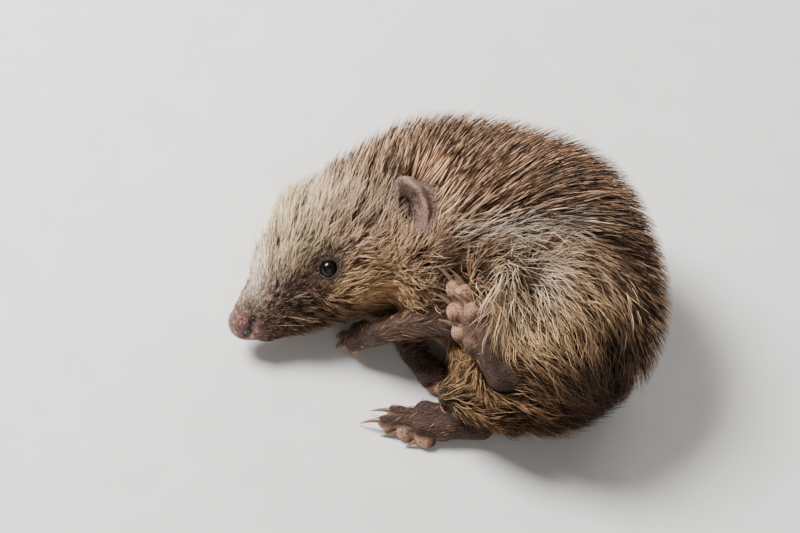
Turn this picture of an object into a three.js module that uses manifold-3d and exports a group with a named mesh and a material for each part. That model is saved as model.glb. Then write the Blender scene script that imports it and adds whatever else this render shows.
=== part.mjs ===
// A young western European hedgehog, life size, lying on its right side and half uncurled.
// The nose points left (-X), the back faces away (+Y), the left flank faces up (+Z) and the
// belly, with the raised left hind foot, faces the front (-Y).
// The solids follow the outer surface of the coat, out to the tips of the quills and fur.
// Units are millimetres.
import * as THREE from "three";
import { mergeVertices } from "three/addons/utils/BufferGeometryUtils.js";
import Module from "manifold-3d";

const wasm = await Module();
wasm.setup();

// ---- driving dimensions ---------------------------------------------------------------
const ROLL = THREE.MathUtils.degToRad(15); // the back edge of the body is lifted by this much
const LIFT = 34.8; // height of the body's own frame above the floor
const GAP = 0.3; // between parts that a plane or cylinder divides
const CLEARANCE = 0.5; // between parts that fit round each other
const SLACK = 0.2; // how far a surface may move when its spare vertices go
const SKIN_BLEND = 9; // how softly the masses of the trunk flow together
const FACE_BLEND = 5;
const QUILL_COAT = 9; // depth of the laid-back quills over the skin
const BELLY_COAT = 5;
const CROWN_COAT = 6;
const FACE_COAT = 3;
const NOSE_COAT = 0.2;
const LEG_COAT = 1.2;
const THIGH_COAT = 3.5;
const EYE_RADIUS = 3.7;
const CLAW_RADIUS = 1.1;
const CURL = { x: 22, y: -24, belly: 19 }; // axis that the spine curls about, and the belly's radius

// Grid steps that each part's surface is taken on.
const STEP = { trunk: 9, head: 5, snout: 3.2, hindFoot: 2.6, foreFoot: 2.6 };

const COLOURS = {
  quills: new THREE.Color(0.36, 0.28, 0.2),
  fur: new THREE.Color(0.5, 0.4, 0.28),
  face: new THREE.Color(0.42, 0.33, 0.26),
  skin: new THREE.Color(0.36, 0.28, 0.27),
  nose: new THREE.Color(0.3, 0.22, 0.22),
  eye: new THREE.Color(0.015, 0.015, 0.02),
  claw: new THREE.Color(0.55, 0.42, 0.24),
};

// ---- fields: a number at each point, negative inside ------------------------------------
const { max, min, abs, hypot, sqrt, cos, sin, atan2 } = Math;
const clamp = (v, low, high) => min(high, max(low, v));
const mix = (a, b, t) => a + (b - a) * t;
const ease = (low, high, v) => {
  const t = clamp((v - low) / (high - low), 0, 1);
  return t * t * (3 - 2 * t);
};

// An egg: a centre, three radii and the frame that they lie along.
function egg(frame, centre, [rx, ry, rz]) {
  const c = frame.at(...centre);
  const [ex, ey, ez] = frame.axes;
  return (x, y, z) => {
    const dx = x - c.x;
    const dy = y - c.y;
    const dz = z - c.z;
    const u = dx * ex.x + dy * ex.y + dz * ex.z;
    const v = dx * ey.x + dy * ey.y + dz * ey.z;
    const w = dx * ez.x + dy * ez.y + dz * ez.z;
    const near = hypot(u / rx, v / ry, w / rz);
    const slope = hypot(u / rx ** 2, v / ry ** 2, w / rz ** 2);
    return slope < 1e-9 ? -min(rx, ry, rz) : (near * (near - 1)) / slope;
  };
}

// A limb: a line from a to b, whose thickness runs evenly from ra to rb.
function limb(a, ra, b, rb) {
  const run = b.clone().sub(a);
  const squared = run.lengthSq();
  return (x, y, z) => {
    const px = x - a.x;
    const py = y - a.y;
    const pz = z - a.z;
    const t = clamp((px * run.x + py * run.y + pz * run.z) / squared, 0, 1);
    return hypot(px - run.x * t, py - run.y * t, pz - run.z * t) - mix(ra, rb, t);
  };
}

// Fields flowed together, with a fillet about as wide as `soft`.
function flowed(soft, ...fields) {
  return (x, y, z) =>
    fields.reduce((near, field) => {
      const d = field(x, y, z);
      const h = max(soft - abs(near - d), 0) / soft;
      return min(near, d) - (h * h * soft) / 4;
    }, 1e3);
}

// A field with another one hollowed out of it, with an edge about as soft.
const hollowed = (soft, field, hollow) => (x, y, z) => {
  const d = field(x, y, z);
  const e = -hollow(x, y, z);
  const h = max(soft - abs(d - e), 0) / soft;
  return max(d, e) + (h * h * soft) / 4;
};

const grown = (field, by) => (x, y, z) => field(x, y, z) - by;

// A frame: an origin and three unit axes, with places given along them.
class Frame {
  constructor(origin, ex, ey, ez) {
    this.origin = origin;
    this.axes = [ex, ey, ez];
  }
  at(a, b, c) {
    const [ex, ey, ez] = this.axes;
    return this.origin.clone().addScaledVector(ex, a).addScaledVector(ey, b).addScaledVector(ez, c);
  }
  along(a, b, c) {
    return this.at(a, b, c).sub(this.origin);
  }
  // x back along -forward, y towards `up`, z completing a right-handed set.
  static facing(origin, forward, up) {
    const ex = forward.clone().negate().normalize();
    const ey = up.clone().addScaledVector(ex, -up.dot(ex)).normalize();
    return new Frame(origin, ex, ey, ex.clone().cross(ey));
  }
}
const V = (x, y, z) => new THREE.Vector3(x, y, z);
const BODY = new Frame(V(0, 0, 0), V(1, 0, 0), V(0, 1, 0), V(0, 0, 1));

// ---- head -------------------------------------------------------------------------------
// Its frame starts at the tip of the nose: x runs back, y up to the brow, z to the animal's left.
const HEAD = Frame.facing(V(-57, -15.7, -20.6), V(-0.81, -0.54, -0.2), V(-0.585, 0.76, 0.28));
if (HEAD.axes[2].z < 0) HEAD.axes[2].negate();

const HEAD_BARREL = 31; // the barrel that parts the head from the trunk
const NECK_BACK = 63;
const EYE = { back: 39.6, up: -2.3, left: 12.95, right: 12.95, clear: 6.5, bare: 0.1 };
const EAR = { back: 73.4, up: -1, left: 31.5, right: 25, clear: 14, bare: 0.4, width: 6.5, depth: 7.5, height: 10, wall: 0.18 };

const headFlesh = flowed(
  FACE_BLEND,
  egg(HEAD, [4.6, -0.2, 0], [5.2, 5.4, 5]), // nose pad
  limb(HEAD.at(8, -1, 0), 5.6, HEAD.at(34, -1, 0), 13), // muzzle
  limb(HEAD.at(13, 4.3, 0), 5, HEAD.at(41, 11.3, 0), 11), // bridge of the nose and brow
  limb(HEAD.at(10, -7.4, 0), 2.8, HEAD.at(42, -12.5, 0), 7.5), // lower jaw
  egg(HEAD, [45, -8, 9], [13, 8.5, 8.5]), // cheeks
  egg(HEAD, [45, -8, -9], [13, 8.5, 8.5]),
  egg(HEAD, [57, 0.5, 0], [23, 20, 20]), // braincase
);

// ---- trunk ------------------------------------------------------------------------------
const trunkFlesh = flowed(
  SKIN_BLEND,
  egg(BODY, [8, 21, -5], [22, 22, 21]), // nape
  egg(BODY, [22, 13, 0], [27, 28, 26]), // shoulders
  egg(BODY, [19, 3, -13], [20, 18, 18.5]), // right shoulder, which the animal lies on
  egg(BODY, [42, 5, 0], [31, 31, 31]), // back
  egg(BODY, [50, -13, 0], [28, 28, 29]), // loin
  egg(BODY, [44, -26, 0], [25, 25, 26]), // rump
);
// The legs and feet lie in a fold between the chest and the belly.
const fold = limb(V(10, -31, 10), 17, V(9, -30, 30), 22);
const bodyFlesh = hollowed(8, flowed(SKIN_BLEND, headFlesh, trunkFlesh), fold);

// How far a place lies inside the quills' mantle, from 0 on the belly to 1 on the back.
function mantle(x, y) {
  const angle = atan2(y - CURL.y, x - CURL.x);
  const border = mix(28, 45, ease(1.3, 0.55, angle));
  return ease(border - 4, border + 5, hypot(x - CURL.x, y - CURL.y));
}

// Where an eye or an ear sits on the head, on the side given by 1 for left or -1 for right.
const placeOf = (spot, side) => HEAD.at(spot.back, spot.up, side > 0 ? spot.left : -spot.right);

// Depth of the coat over the skin of head and trunk. The quills start behind the ears.
function coat(x, y, z) {
  const [ex, ey, ez] = HEAD.axes;
  const { x: ox, y: oy, z: oz } = HEAD.origin;
  const back = (x - ox) * ex.x + (y - oy) * ex.y + (z - oz) * ex.z;
  const up = (x - ox) * ey.x + (y - oy) * ey.y + (z - oz) * ey.z;
  const face = mix(NOSE_COAT, FACE_COAT, ease(5, 22, back));
  const crown = mix(face, CROWN_COAT, ease(34, 54, back));
  const trunk = mix(BELLY_COAT, QUILL_COAT, mantle(x, y));
  const side = (x - ox) * ez.x + (y - oy) * ez.y + (z - oz) * ez.z;
  const thinned = [EYE, EAR].reduce((share, spot) => {
    const out = side > 0 ? side - spot.left : side + spot.right;
    const away = hypot(back - spot.back, up - spot.up, out) / spot.clear;
    return share * mix(spot.bare, 1, ease(0.6, 1.5, away));
  }, 1);
  return mix(crown, trunk, ease(70, 86, back + 0.5 * up)) * thinned;
}
const bodyOutline = (x, y, z) => bodyFlesh(x, y, z) - coat(x, y, z);

// ---- legs and feet ----------------------------------------------------------------------
// A foot's frame starts at the heel or wrist: x runs to the toes, z out of the sole and
// y to the inner side, where the first toe is.
function footFrame(heel, toes, sole) {
  const ex = toes.clone().sub(heel).normalize();
  const ez = sole.clone().addScaledVector(ex, -sole.dot(ex)).normalize();
  return new Frame(heel, ex, ez.clone().cross(ex), ez);
}

// Where each toe starts and ends, in shares of the foot's length and width, inner toe first.
const TOES = [
  { from: [0.46, 0.26], to: [0.6, 0.48], low: 0.12 },
  { from: [0.56, 0.22], to: [0.77, 0.34], low: 0.14 },
  { from: [0.64, 0.1], to: [0.94, 0.16], low: 0.03 },
  { from: [0.64, -0.1], to: [0.87, -0.14], low: 0.03 },
  { from: [0.52, -0.22], to: [0.72, -0.26], low: 0.2 },
];

function toePlaces(foot) {
  const { frame, length, width, hand } = foot;
  return TOES.map(({ from, to, low }) => ({
    root: frame.at(from[0] * length, from[1] * width * hand, 0),
    tip: frame.at(to[0] * length, to[1] * width * hand, low * width),
  }));
}

function footField(foot) {
  const { frame, length, width, thick, hand } = foot;
  const places = toePlaces(foot);
  const sole = [-0.24, 0.24].map((across) =>
    limb(
      frame.at(0.1 * length, across * 0.25 * width, 0),
      thick,
      frame.at(0.6 * length, across * width, 0),
      thick * 0.95,
    ),
  );
  const toes = places.map(({ root, tip }) => limb(root, thick * 0.6, tip, thick * 0.5));
  const pads = places.map(({ tip }) =>
    egg(frame, backFrom(frame, tip, 0.04 * length, 0.06 * width), [0.09 * length, 0.19 * width, 0.18 * width]),
  );
  const heelPad = egg(frame, [0.42 * length, 0.26 * width * hand, 0.2 * width], [3.4, 2.2, 2.4]);
  return flowed(1.2, flowed(2.5, ...sole), ...toes, ...pads, heelPad);
}

// A place a little short of `point` along the foot, pushed out of the sole.
function backFrom(frame, point, short, out) {
  const local = point.clone().sub(frame.origin);
  const [ex, ey, ez] = frame.axes;
  return [local.dot(ex) - short, local.dot(ey), local.dot(ez) + out];
}

const LEGS = {
  hind_left: {
    joints: [V(54, -24, 6), V(34, -13, 23), V(36.5, -40, 13.5)],
    radii: [17, 10, 6.5, 4.6],
    foot: { heel: V(33.5, -46, 12), toes: V(19, -14.5, 23), sole: V(-0.75, -0.35, 0.62), length: 39, width: 13.5, thick: 3.7, hand: 1 },
  },
  hind_right: {
    joints: [V(52, -24, -8), V(33, -21, -18.5), V(35, -47, -16.5)],
    radii: [15, 9, 6, 4.6],
    foot: { heel: V(31, -51, -17), toes: V(-5, -46, -18.6), sole: V(0.1, -0.2, -1), length: 39, width: 13.5, thick: 3.7, hand: -1 },
  },
  fore_left: {
    joints: [V(20, 0, 14), V(17.5, -19, 3.5), V(-7, -19.5, -12)],
    radii: [10, 6, 5.4, 3.6],
    foot: { heel: V(-6, -19.6, -11), toes: V(-20, -17, -26.5), sole: V(0.85, -0.25, -0.6), length: 23, width: 10.5, thick: 2.9, hand: 1 },
  },
  fore_right: {
    joints: [V(16, 0, -19), V(-6, -3, -26.5), V(4.5, -22, -25)],
    radii: [9, 5, 4.6, 3.6],
    foot: { heel: V(3, -21, -25), toes: V(16, -37, -20), sole: V(0.1, 0.2, -1), length: 23, width: 10.5, thick: 2.9, hand: -1 },
  },
};
const SEGMENTS = { hind: ["thigh", "shank"], fore: ["upper_arm", "forearm"] };

// ---- polygons from a field ----------------------------------------------------------------
const CORNERS = [0, 1, 2, 3, 4, 5, 6, 7].map((n) => [n & 1, (n >> 1) & 1, n >> 2]);
const EDGES = CORNERS.flatMap((corner, n) =>
  [0, 1, 2].filter((axis) => !corner[axis]).map((axis) => ({ from: n, to: n + (1 << axis), axis })),
);

// The corners round each face of a cell, and a key for the edge between two corners.
const FACES = [0, 1, 2].flatMap((axis) => {
  const [p, q, r] = [axis, axis + 1, axis + 2].map((n) => 1 << n % 3);
  return [0, p].map((near) => [near, near + q, near + q + r, near + r]);
});
const edgeKey = (a, b) => min(a, b) * 8 + max(a, b);

// Which sheet of the surface crosses each edge of a cell. A face that is crossed four times is
// always cut so that its two inner corners are kept apart, so neighbouring cells agree.
function sheetsOf(inside) {
  const joins = FACES.flatMap((face) => {
    const crossed = face.map((corner, n) => [corner, face[(n + 1) % 4]]).filter(([a, b]) => inside[a] !== inside[b]);
    if (crossed.length < 4) return crossed.length ? [crossed.map(([a, b]) => edgeKey(a, b))] : [];
    const sides = face.map((corner, n) => [face[(n + 3) % 4], corner, face[(n + 1) % 4]]);
    return sides.filter(([, corner]) => inside[corner]).map(([a, corner, b]) => [edgeKey(a, corner), edgeKey(corner, b)]);
  });
  const sheet = Array.from({ length: 64 }, (_, n) => n);
  for (let pass = 0; pass < 12; pass++) for (const [a, b] of joins) sheet[a] = sheet[b] = min(sheet[a], sheet[b]);
  return sheet;
}

// Each sheet of the surface in a cell gets one vertex, at the mean of where it crosses the
// cell's edges, and each crossed grid edge gets a face between its four cells.
function polygonsFrom(field, box, step, shift) {
  const count = ["x", "y", "z"].map((k) => Math.ceil((box.max[k] - box.min[k]) / step) + 3);
  const [nx, ny, nz] = count;
  const start = box.min.clone().subScalar((1 - shift) * step).toArray();
  const place = (i, j, k) => [start[0] + i * step, start[1] + j * step, start[2] + k * step];
  const at = (i, j, k) => i + nx * (j + ny * k);
  const values = new Float64Array(nx * ny * nz).fill(step);
  for (let k = 1; k < nz - 1; k++)
    for (let j = 1; j < ny - 1; j++)
      for (let i = 1; i < nx - 1; i++) values[at(i, j, k)] = field(...place(i, j, k)) || 1e-6;

  const vertices = [];
  const cells = new Map();
  const openCell = (i, j, k) => {
    const corner = CORNERS.map(([p, q, r]) => values[at(i + p, j + q, k + r)]);
    const sheet = sheetsOf(corner.map((v) => v < 0));
    const sums = new Map();
    for (const { from, to, axis } of EDGES) {
      if (corner[from] < 0 === corner[to] < 0) continue;
      const key = sheet[edgeKey(from, to)];
      const sum = sums.get(key) ?? [0, 0, 0, 0];
      const [p, q, r] = CORNERS[from];
      const crossing = place(i + p, j + q, k + r);
      crossing[axis] += (step * corner[from]) / (corner[from] - corner[to]);
      sums.set(key, [...crossing, 1].map((v, n) => v + sum[n]));
    }
    const vertexOf = new Map();
    for (const [key, [x, y, z, crossings]] of sums) {
      vertices.push(x / crossings, y / crossings, z / crossings);
      vertexOf.set(key, vertices.length / 3 - 1);
    }
    return { sheet, vertexOf };
  };
  const vertexIn = (cell, a, b) => {
    const key = at(...cell);
    if (!cells.has(key)) cells.set(key, openCell(...cell));
    const { sheet, vertexOf } = cells.get(key);
    const corner = (grid) => grid.reduce((n, v, axis) => n + ((v - cell[axis]) << axis), 0);
    return vertexOf.get(sheet[edgeKey(corner(a), corner(b))]);
  };

  const faces = [];
  for (let k = 0; k < nz - 1; k++)
    for (let j = 0; j < ny - 1; j++)
      for (let i = 0; i < nx - 1; i++)
        for (const axis of [0, 1, 2]) {
          const a = [i, j, k];
          const b = [...a];
          b[axis] += 1;
          const inside = values[at(...a)] < 0;
          if (inside === values[at(...b)] < 0) continue;
          const ring = [[0, 0], [1, 0], [1, 1], [0, 1]].map(([p, q]) => {
            const cell = [...a];
            cell[(axis + 1) % 3] -= 1 - p;
            cell[(axis + 2) % 3] -= 1 - q;
            return vertexIn(cell, a, b);
          });
          const [p, q, r, s] = inside ? ring : ring.reverse();
          faces.push(p, q, r, p, r, s);
        }
  return new wasm.Mesh({ numProp: 3, vertProperties: new Float32Array(vertices), triVerts: new Uint32Array(faces) });
}

// The surface now and then passes twice through one cell, where two sheets would share a vertex,
// so the grid is then moved a little and tried again.
function solidFrom(field, box, step) {
  for (let shift = 0; shift < 1; shift += 0.07) {
    try {
      return largest(new wasm.Manifold(polygonsFrom(field, box, step, shift)));
    } catch {
      continue;
    }
  }
  throw new Error("no grid gives one closed surface");
}

const largest = (solid) => solid.decompose().reduce((best, piece) => (piece.volume() > best.volume() ? piece : best));

// Takes out each vertex that the surface can lose without moving by more than `slack`: it is
// drawn into a neighbour that lies on all of its planes.
function thinned({ vertProperties, triVerts }, slack) {
  const points = Array.from({ length: vertProperties.length / 3 }, (_, n) => V(...vertProperties.slice(n * 3, n * 3 + 3)));
  const facesOf = points.map(() => new Set());
  const planes = points.map(() => []);
  const normalOf = ([a, b, c]) => points[b].clone().sub(points[a]).cross(points[c].clone().sub(points[a]));
  for (let n = 0; n < triVerts.length; n += 3) {
    const face = [...triVerts.slice(n, n + 3)];
    const normal = normalOf(face);
    const area = normal.length();
    const plane = new THREE.Plane().setFromNormalAndCoplanarPoint(normal.divideScalar(area || 1), points[face[0]]);
    for (const v of face) {
      facesOf[v].add(face);
      if (area > 1e-3) planes[v].push(plane);
    }
  }
  const ringOf = (u) => new Set([...facesOf[u]].flat().filter((v) => v !== u));
  const drawnInto = (face, u, v) => face.map((corner) => (corner === u ? v : corner));
  const keepsFacing = (face, u, v) => {
    const before = normalOf(face);
    const after = normalOf(drawnInto(face, u, v));
    const longest = max(...face.map((a, n) => points[a === u ? v : a].distanceTo(points[face[(n + 1) % 3] === u ? v : face[(n + 1) % 3]])));
    return after.length() > 0.05 * longest && (before.length() < 2e-3 || after.dot(before) > 0.4 * after.length() * before.length());
  };
  const canDraw = (u, v, ring) =>
    [...ringOf(v)].filter((w) => ring.has(w)).length === 2 &&
    planes[u].every((plane) => abs(plane.distanceToPoint(points[v])) < slack) &&
    [...facesOf[u]].every((face) => face.includes(v) || keepsFacing(face, u, v));
  for (let pass = 0; pass < 8; pass++)
    points.forEach((point, u) => {
      const ring = ringOf(u);
      if (ring.size < 3) return;
      const v = [...ring].sort((a, b) => point.distanceTo(points[a]) - point.distanceTo(points[b])).find((v) => canDraw(u, v, ring));
      if (v === undefined) return;
      for (const face of facesOf[u]) {
        for (const w of face) if (w !== u) facesOf[w].delete(face);
        if (face.includes(v)) continue;
        const drawn = drawnInto(face, u, v);
        for (const w of drawn) facesOf[w].add(drawn);
      }
      facesOf[u].clear();
      planes[v].push(...planes[u]);
    });
  const faces = [...new Set(facesOf.flatMap((set) => [...set]))];
  const kept = [...new Set(faces.flat())];
  const number = new Map(kept.map((v, n) => [v, n]));
  return new THREE.BufferGeometry()
    .setAttribute("position", new THREE.BufferAttribute(new Float32Array(kept.flatMap((v) => points[v].toArray())), 3))
    .setIndex(faces.flat().map((v) => number.get(v)));
}

// The box round some points, grown on every side.
const boxRound = (points, by) => new THREE.Box3().setFromPoints(points).expandByScalar(by);

// A three.js geometry, put in place by a matrix, as a solid.
function solidOf(geometry, matrix) {
  const bare = geometry.index ? geometry.toNonIndexed() : geometry.clone();
  bare.deleteAttribute("normal");
  bare.deleteAttribute("uv");
  const merged = mergeVertices(bare.applyMatrix4(matrix), 1e-4);
  return new wasm.Manifold(
    new wasm.Mesh({
      numProp: 3,
      vertProperties: new Float32Array(merged.attributes.position.array),
      triVerts: new Uint32Array(merged.index.array),
    }),
  );
}

// A limb as a solid of revolution: half a ball at each end, whose radii run from ra to rb.
function limbSolid(a, ra, b, rb) {
  const run = b.clone().sub(a);
  const quarter = [0, 1, 2, 3].map((n) => (n * Math.PI) / 6);
  const profile = [
    ...quarter.map((t) => new THREE.Vector2(ra * sin(t), -ra * cos(t))),
    ...quarter.map((t) => new THREE.Vector2(rb * cos(t), run.length() + rb * sin(t))),
  ];
  profile[0].x = profile.at(-1).x = 0;
  const turn = new THREE.Quaternion().setFromUnitVectors(V(0, 1, 0), run.clone().normalize());
  return solidOf(new THREE.LatheGeometry(profile, 12), new THREE.Matrix4().compose(a, turn, V(1, 1, 1)));
}

// An ear: half an egg, open forwards and outwards. With no wall it is filled, out past its rim.
function earSolid(side, wall, by) {
  const axis = HEAD.along(-0.62, 0.05, 0.78 * side).normalize();
  const across = axis.clone().cross(HEAD.along(0.35, 0.94, 0)).normalize();
  const upright = across.clone().cross(axis);
  const bowl = [0, 1, 2, 3].map((n) => new THREE.Vector2(n && sin((n * Math.PI) / 6), -cos((n * Math.PI) / 6)));
  const inside = bowl.map((point) => point.clone().multiplyScalar(1 - wall)).reverse();
  const lid = [new THREE.Vector2(1, 0.5), new THREE.Vector2(0, 0.5)];
  const place = new THREE.Matrix4().makeBasis(
    across.multiplyScalar(EAR.width + by),
    axis.multiplyScalar(EAR.depth + by),
    upright.multiplyScalar(EAR.height + by),
  );
  place.setPosition(placeOf(EAR, side));
  return solidOf(new THREE.LatheGeometry([...bowl, ...(wall ? inside : lid)], 14), place);
}

// ---- cutters ------------------------------------------------------------------------------
const FAR = 400;

// Everything past `point` in the direction `towards`, less half of the gap.
function beyond(point, towards) {
  const turn = new THREE.Quaternion().setFromUnitVectors(V(0, 0, 1), towards.clone().normalize());
  const centre = point.clone().addScaledVector(towards.clone().normalize(), FAR / 2 + GAP / 2);
  return solidOf(new THREE.BoxGeometry(FAR, FAR, FAR), new THREE.Matrix4().compose(centre, turn, V(1, 1, 1)));
}

// Both sides of the plane that holds the curl's axis and lies at an angle in the body's frame.
function ray(degrees) {
  const angle = THREE.MathUtils.degToRad(degrees);
  const across = V(-sin(angle), cos(angle), 0);
  const point = V(CURL.x, CURL.y, 0);
  return { ahead: beyond(point, across), behind: beyond(point, across.clone().negate()) };
}

function curlCylinder(radius) {
  const turn = new THREE.Quaternion().setFromUnitVectors(V(0, 1, 0), V(0, 0, 1));
  return solidOf(
    new THREE.CylinderGeometry(radius, radius, FAR, 24),
    new THREE.Matrix4().compose(V(CURL.x, CURL.y, 0), turn, V(1, 1, 1)),
  );
}

// A barrel round the head's axis, from well before the nose back to its flat end.
function headBarrel(radius, back) {
  const along = HEAD.along(1, 0, 0);
  const turn = new THREE.Quaternion().setFromUnitVectors(V(0, 1, 0), along);
  return solidOf(
    new THREE.CylinderGeometry(radius, radius, FAR, 24),
    new THREE.Matrix4().compose(HEAD.at(back - FAR / 2, 0, 0), turn, V(1, 1, 1)),
  );
}

const headCut = (back) => ({
  front: beyond(HEAD.at(back, 0, 0), HEAD.along(-1, 0, 0)),
  rear: beyond(HEAD.at(back, 0, 0), HEAD.along(1, 0, 0)),
});

// ---- the parts, in order: each gives way to all that stand before it ---------------------------
const parts = [];
const all = (solid, ...cutters) => cutters.reduce((kept, cutter) => kept.intersect(cutter), solid);

function addPart(name, colour, solid, swollen) {
  const box = solid.boundingBox();
  const touches = (other) => {
    const b = other.boundingBox();
    return [0, 1, 2].every((n) => b.min[n] < box.max[n] && b.max[n] > box.min[n]);
  };
  const cut = parts
    .filter((part) => part.swollen && touches(part.swollen))
    .reduce((kept, part) => kept.subtract(part.swollen), solid);
  parts.push({ name, colour, solid: largest(cut), swollen });
}

function addLimb(name, colour, [a, ra, b, rb]) {
  addPart(name, colour, limbSolid(a, ra, b, rb), limbSolid(a, ra + CLEARANCE, b, rb + CLEARANCE));
}

// A part of its own shape, with the swollen copy that makes room for it in its neighbours.
function addField(name, colour, field, box, step) {
  addPart(name, colour, solidFrom(field, box, step), solidFrom(grown(field, 1.5 * CLEARANCE), box, step));
}

function addEyes() {
  for (const [name, side] of [["left", 1], ["right", -1]]) {
    const place = (radius) => {
      return solidOf(new THREE.SphereGeometry(radius, 10, 8), new THREE.Matrix4().setPosition(placeOf(EYE, side)));
    };
    addPart(`eye_${name}`, COLOURS.eye, place(EYE_RADIUS), place(EYE_RADIUS + CLEARANCE));
  }
}

// A claw: a cone bent towards the sole, rooted in the tip of a toe.
function clawSolid(foot, toe, length, by) {
  const [, , ez] = foot.frame.axes;
  const ahead = toe.tip.clone().sub(toe.root).normalize();
  const down = ez.clone().addScaledVector(ahead, -ez.dot(ahead)).normalize();
  const cone = new THREE.ConeGeometry(CLAW_RADIUS + by, length + 2.4 * by, 5, 3);
  const position = cone.attributes.position;
  for (let n = 0; n < position.count; n++) {
    const t = position.getY(n) / length + 0.5;
    position.setX(n, position.getX(n) * 0.8 + 0.3 * length * t * t);
  }
  const basis = new THREE.Matrix4().makeBasis(down, ahead, down.clone().cross(ahead));
  const centre = toe.tip.clone().addScaledVector(ahead, length * 0.5).addScaledVector(down, -0.5);
  return solidOf(cone, basis.setPosition(centre));
}

function addLegs() {
  const feet = Object.entries(LEGS).map(([leg, { foot }]) => {
    const hind = leg.startsWith("hind");
    foot.frame = footFrame(foot.heel, foot.toes, foot.sole);
    return { leg, foot, hind };
  });
  for (const { leg, foot, hind } of feet)
    toePlaces(foot).forEach((toe, n) => {
      const length = (hind ? 8.5 : 6.5) * (n === 0 ? 0.8 : 1);
      addPart(`claw_${leg}_${n + 1}`, COLOURS.claw, clawSolid(foot, toe, length, 0), clawSolid(foot, toe, length, CLEARANCE));
    });
  for (const { leg, foot, hind } of feet) {
    const box = boxRound([foot.heel, foot.toes], foot.width * 0.9);
    addField(`${hind ? "hindfoot" : "forefoot"}_${leg.split("_")[1]}`, COLOURS.skin, footField(foot), box, hind ? STEP.hindFoot : STEP.foreFoot);
  }
  for (const [leg, { joints, radii }] of Object.entries(LEGS)) {
    const [kind, side] = leg.split("_");
    const [upper, lower] = SEGMENTS[kind];
    const [hip, knee, ankle] = joints;
    addLimb(`${lower}_${side}`, COLOURS.skin, [knee, radii[2] + LEG_COAT, ankle, radii[3] + LEG_COAT]);
    const depth = kind === "hind" ? THIGH_COAT : LEG_COAT;
    addLimb(`${upper}_${side}`, COLOURS.fur, [hip, radii[0] + depth, knee, radii[1] + depth]);
  }
}

function addTail() {
  addLimb("tail", COLOURS.skin, [V(31, -47, 0), 6.5, V(15, -44, -5), 2.6]);
}

function addHead() {
  const nosePlane = headCut(7.5);
  const snoutPlane = headCut(27);
  const jawPlane = headCut(47);
  const [barrel, socket] = [-0.5, 0.5].map((share) => headBarrel(HEAD_BARREL + share * GAP, NECK_BACK + share * GAP));
  const mouth = V(0, 0, 0).add(HEAD.at(8, -6, 0));
  const lipSlope = HEAD.along(0.12, 1, 0);
  const above = beyond(mouth, lipSlope);
  const below = beyond(mouth, lipSlope.clone().negate());
  const span = (from, to, by) => boxRound([HEAD.at(from, 0, 0), HEAD.at(to, 0, 0)], by);
  const front = solidFrom(bodyOutline, span(0, 28, 26), STEP.snout);
  const rear = solidFrom(bodyOutline, span(24, 66, 38), STEP.head).intersect(barrel);
  addPart("nose", COLOURS.nose, all(front, nosePlane.front));
  addPart("snout", COLOURS.face, all(front, nosePlane.rear, snoutPlane.front, above));
  addPart("lower_jaw", COLOURS.face, all(front, nosePlane.rear, snoutPlane.front, below));
  for (const [name, side] of [["left", 1], ["right", -1]])
    addPart(`ear_${name}`, COLOURS.skin, earSolid(side, EAR.wall, 0), earSolid(side, 0, CLEARANCE));
  addPart("throat", COLOURS.face, all(rear, snoutPlane.rear, jawPlane.front, below));
  addPart("head", COLOURS.face, all(rear, snoutPlane.rear, jawPlane.front, above));
  addPart("crown", COLOURS.quills, all(rear, jawPlane.rear));
  return socket;
}

function addTrunk(socket) {
  const box = new THREE.Box3(V(-45, -75, -60), V(105, 70, 60));
  const trunk = solidFrom(bodyOutline, box, STEP.trunk).subtract(socket);
  const inner = curlCylinder(CURL.belly - GAP / 2);
  const outer = trunk.subtract(curlCylinder(CURL.belly + GAP / 2));
  const [nape, withers, waist, haunch] = [102, 66, 28, -10].map(ray);
  addPart("belly", COLOURS.fur, all(trunk, inner));
  addPart("neck", COLOURS.quills, all(outer, nape.ahead, haunch.ahead));
  addPart("shoulders", COLOURS.quills, all(outer, nape.behind, withers.ahead));
  addPart("back", COLOURS.quills, all(outer, withers.behind, waist.ahead));
  addPart("loin", COLOURS.quills, all(outer, waist.behind, haunch.ahead));
  addPart("rump", COLOURS.quills, all(outer, haunch.behind));
}

addEyes();
addLegs();
addTail();
addTrunk(addHead());

// ---- the scene graph ------------------------------------------------------------------------
// The lying body is rolled about X, raised, and stood on the floor by flats at one level.
const lying = new THREE.Group();
lying.name = "lying_body";
lying.rotation.x = ROLL;
lying.position.z = LIFT;
lying.updateMatrixWorld(true);

const intoBody = lying.matrixWorld.clone().invert();
const floor = V(0, 0, -GAP / 2).applyMatrix4(intoBody);
const upwards = V(0, 0, 1).transformDirection(intoBody);
const aboveFloor = beyond(floor, upwards);

for (const { name, colour, solid } of parts) {
  const geometry = thinned(largest(solid.intersect(aboveFloor)).getMesh(), SLACK);
  const material = new THREE.MeshStandardMaterial({ color: colour, roughness: name.startsWith("eye") ? 0.08 : 0.8 });
  const mesh = new THREE.Mesh(geometry, material);
  mesh.name = name;
  lying.add(mesh);
}

const hedgehog = new THREE.Group();
hedgehog.name = "hedgehog";
hedgehog.add(lying);
const extent = new THREE.Box3().setFromObject(hedgehog, true);
lying.position.x -= (extent.min.x + extent.max.x) / 2;
lying.position.y -= (extent.min.y + extent.max.y) / 2;

export default hedgehog;
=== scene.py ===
"""A young hedgehog, life size, lying on its right side and half uncurled.

Shapes are worked out in millimetres in the body's own frame: x runs from the head to the rump,
y from the belly up to the nape, and z to the animal's left. The lying body is then rolled about x.
"""

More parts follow.
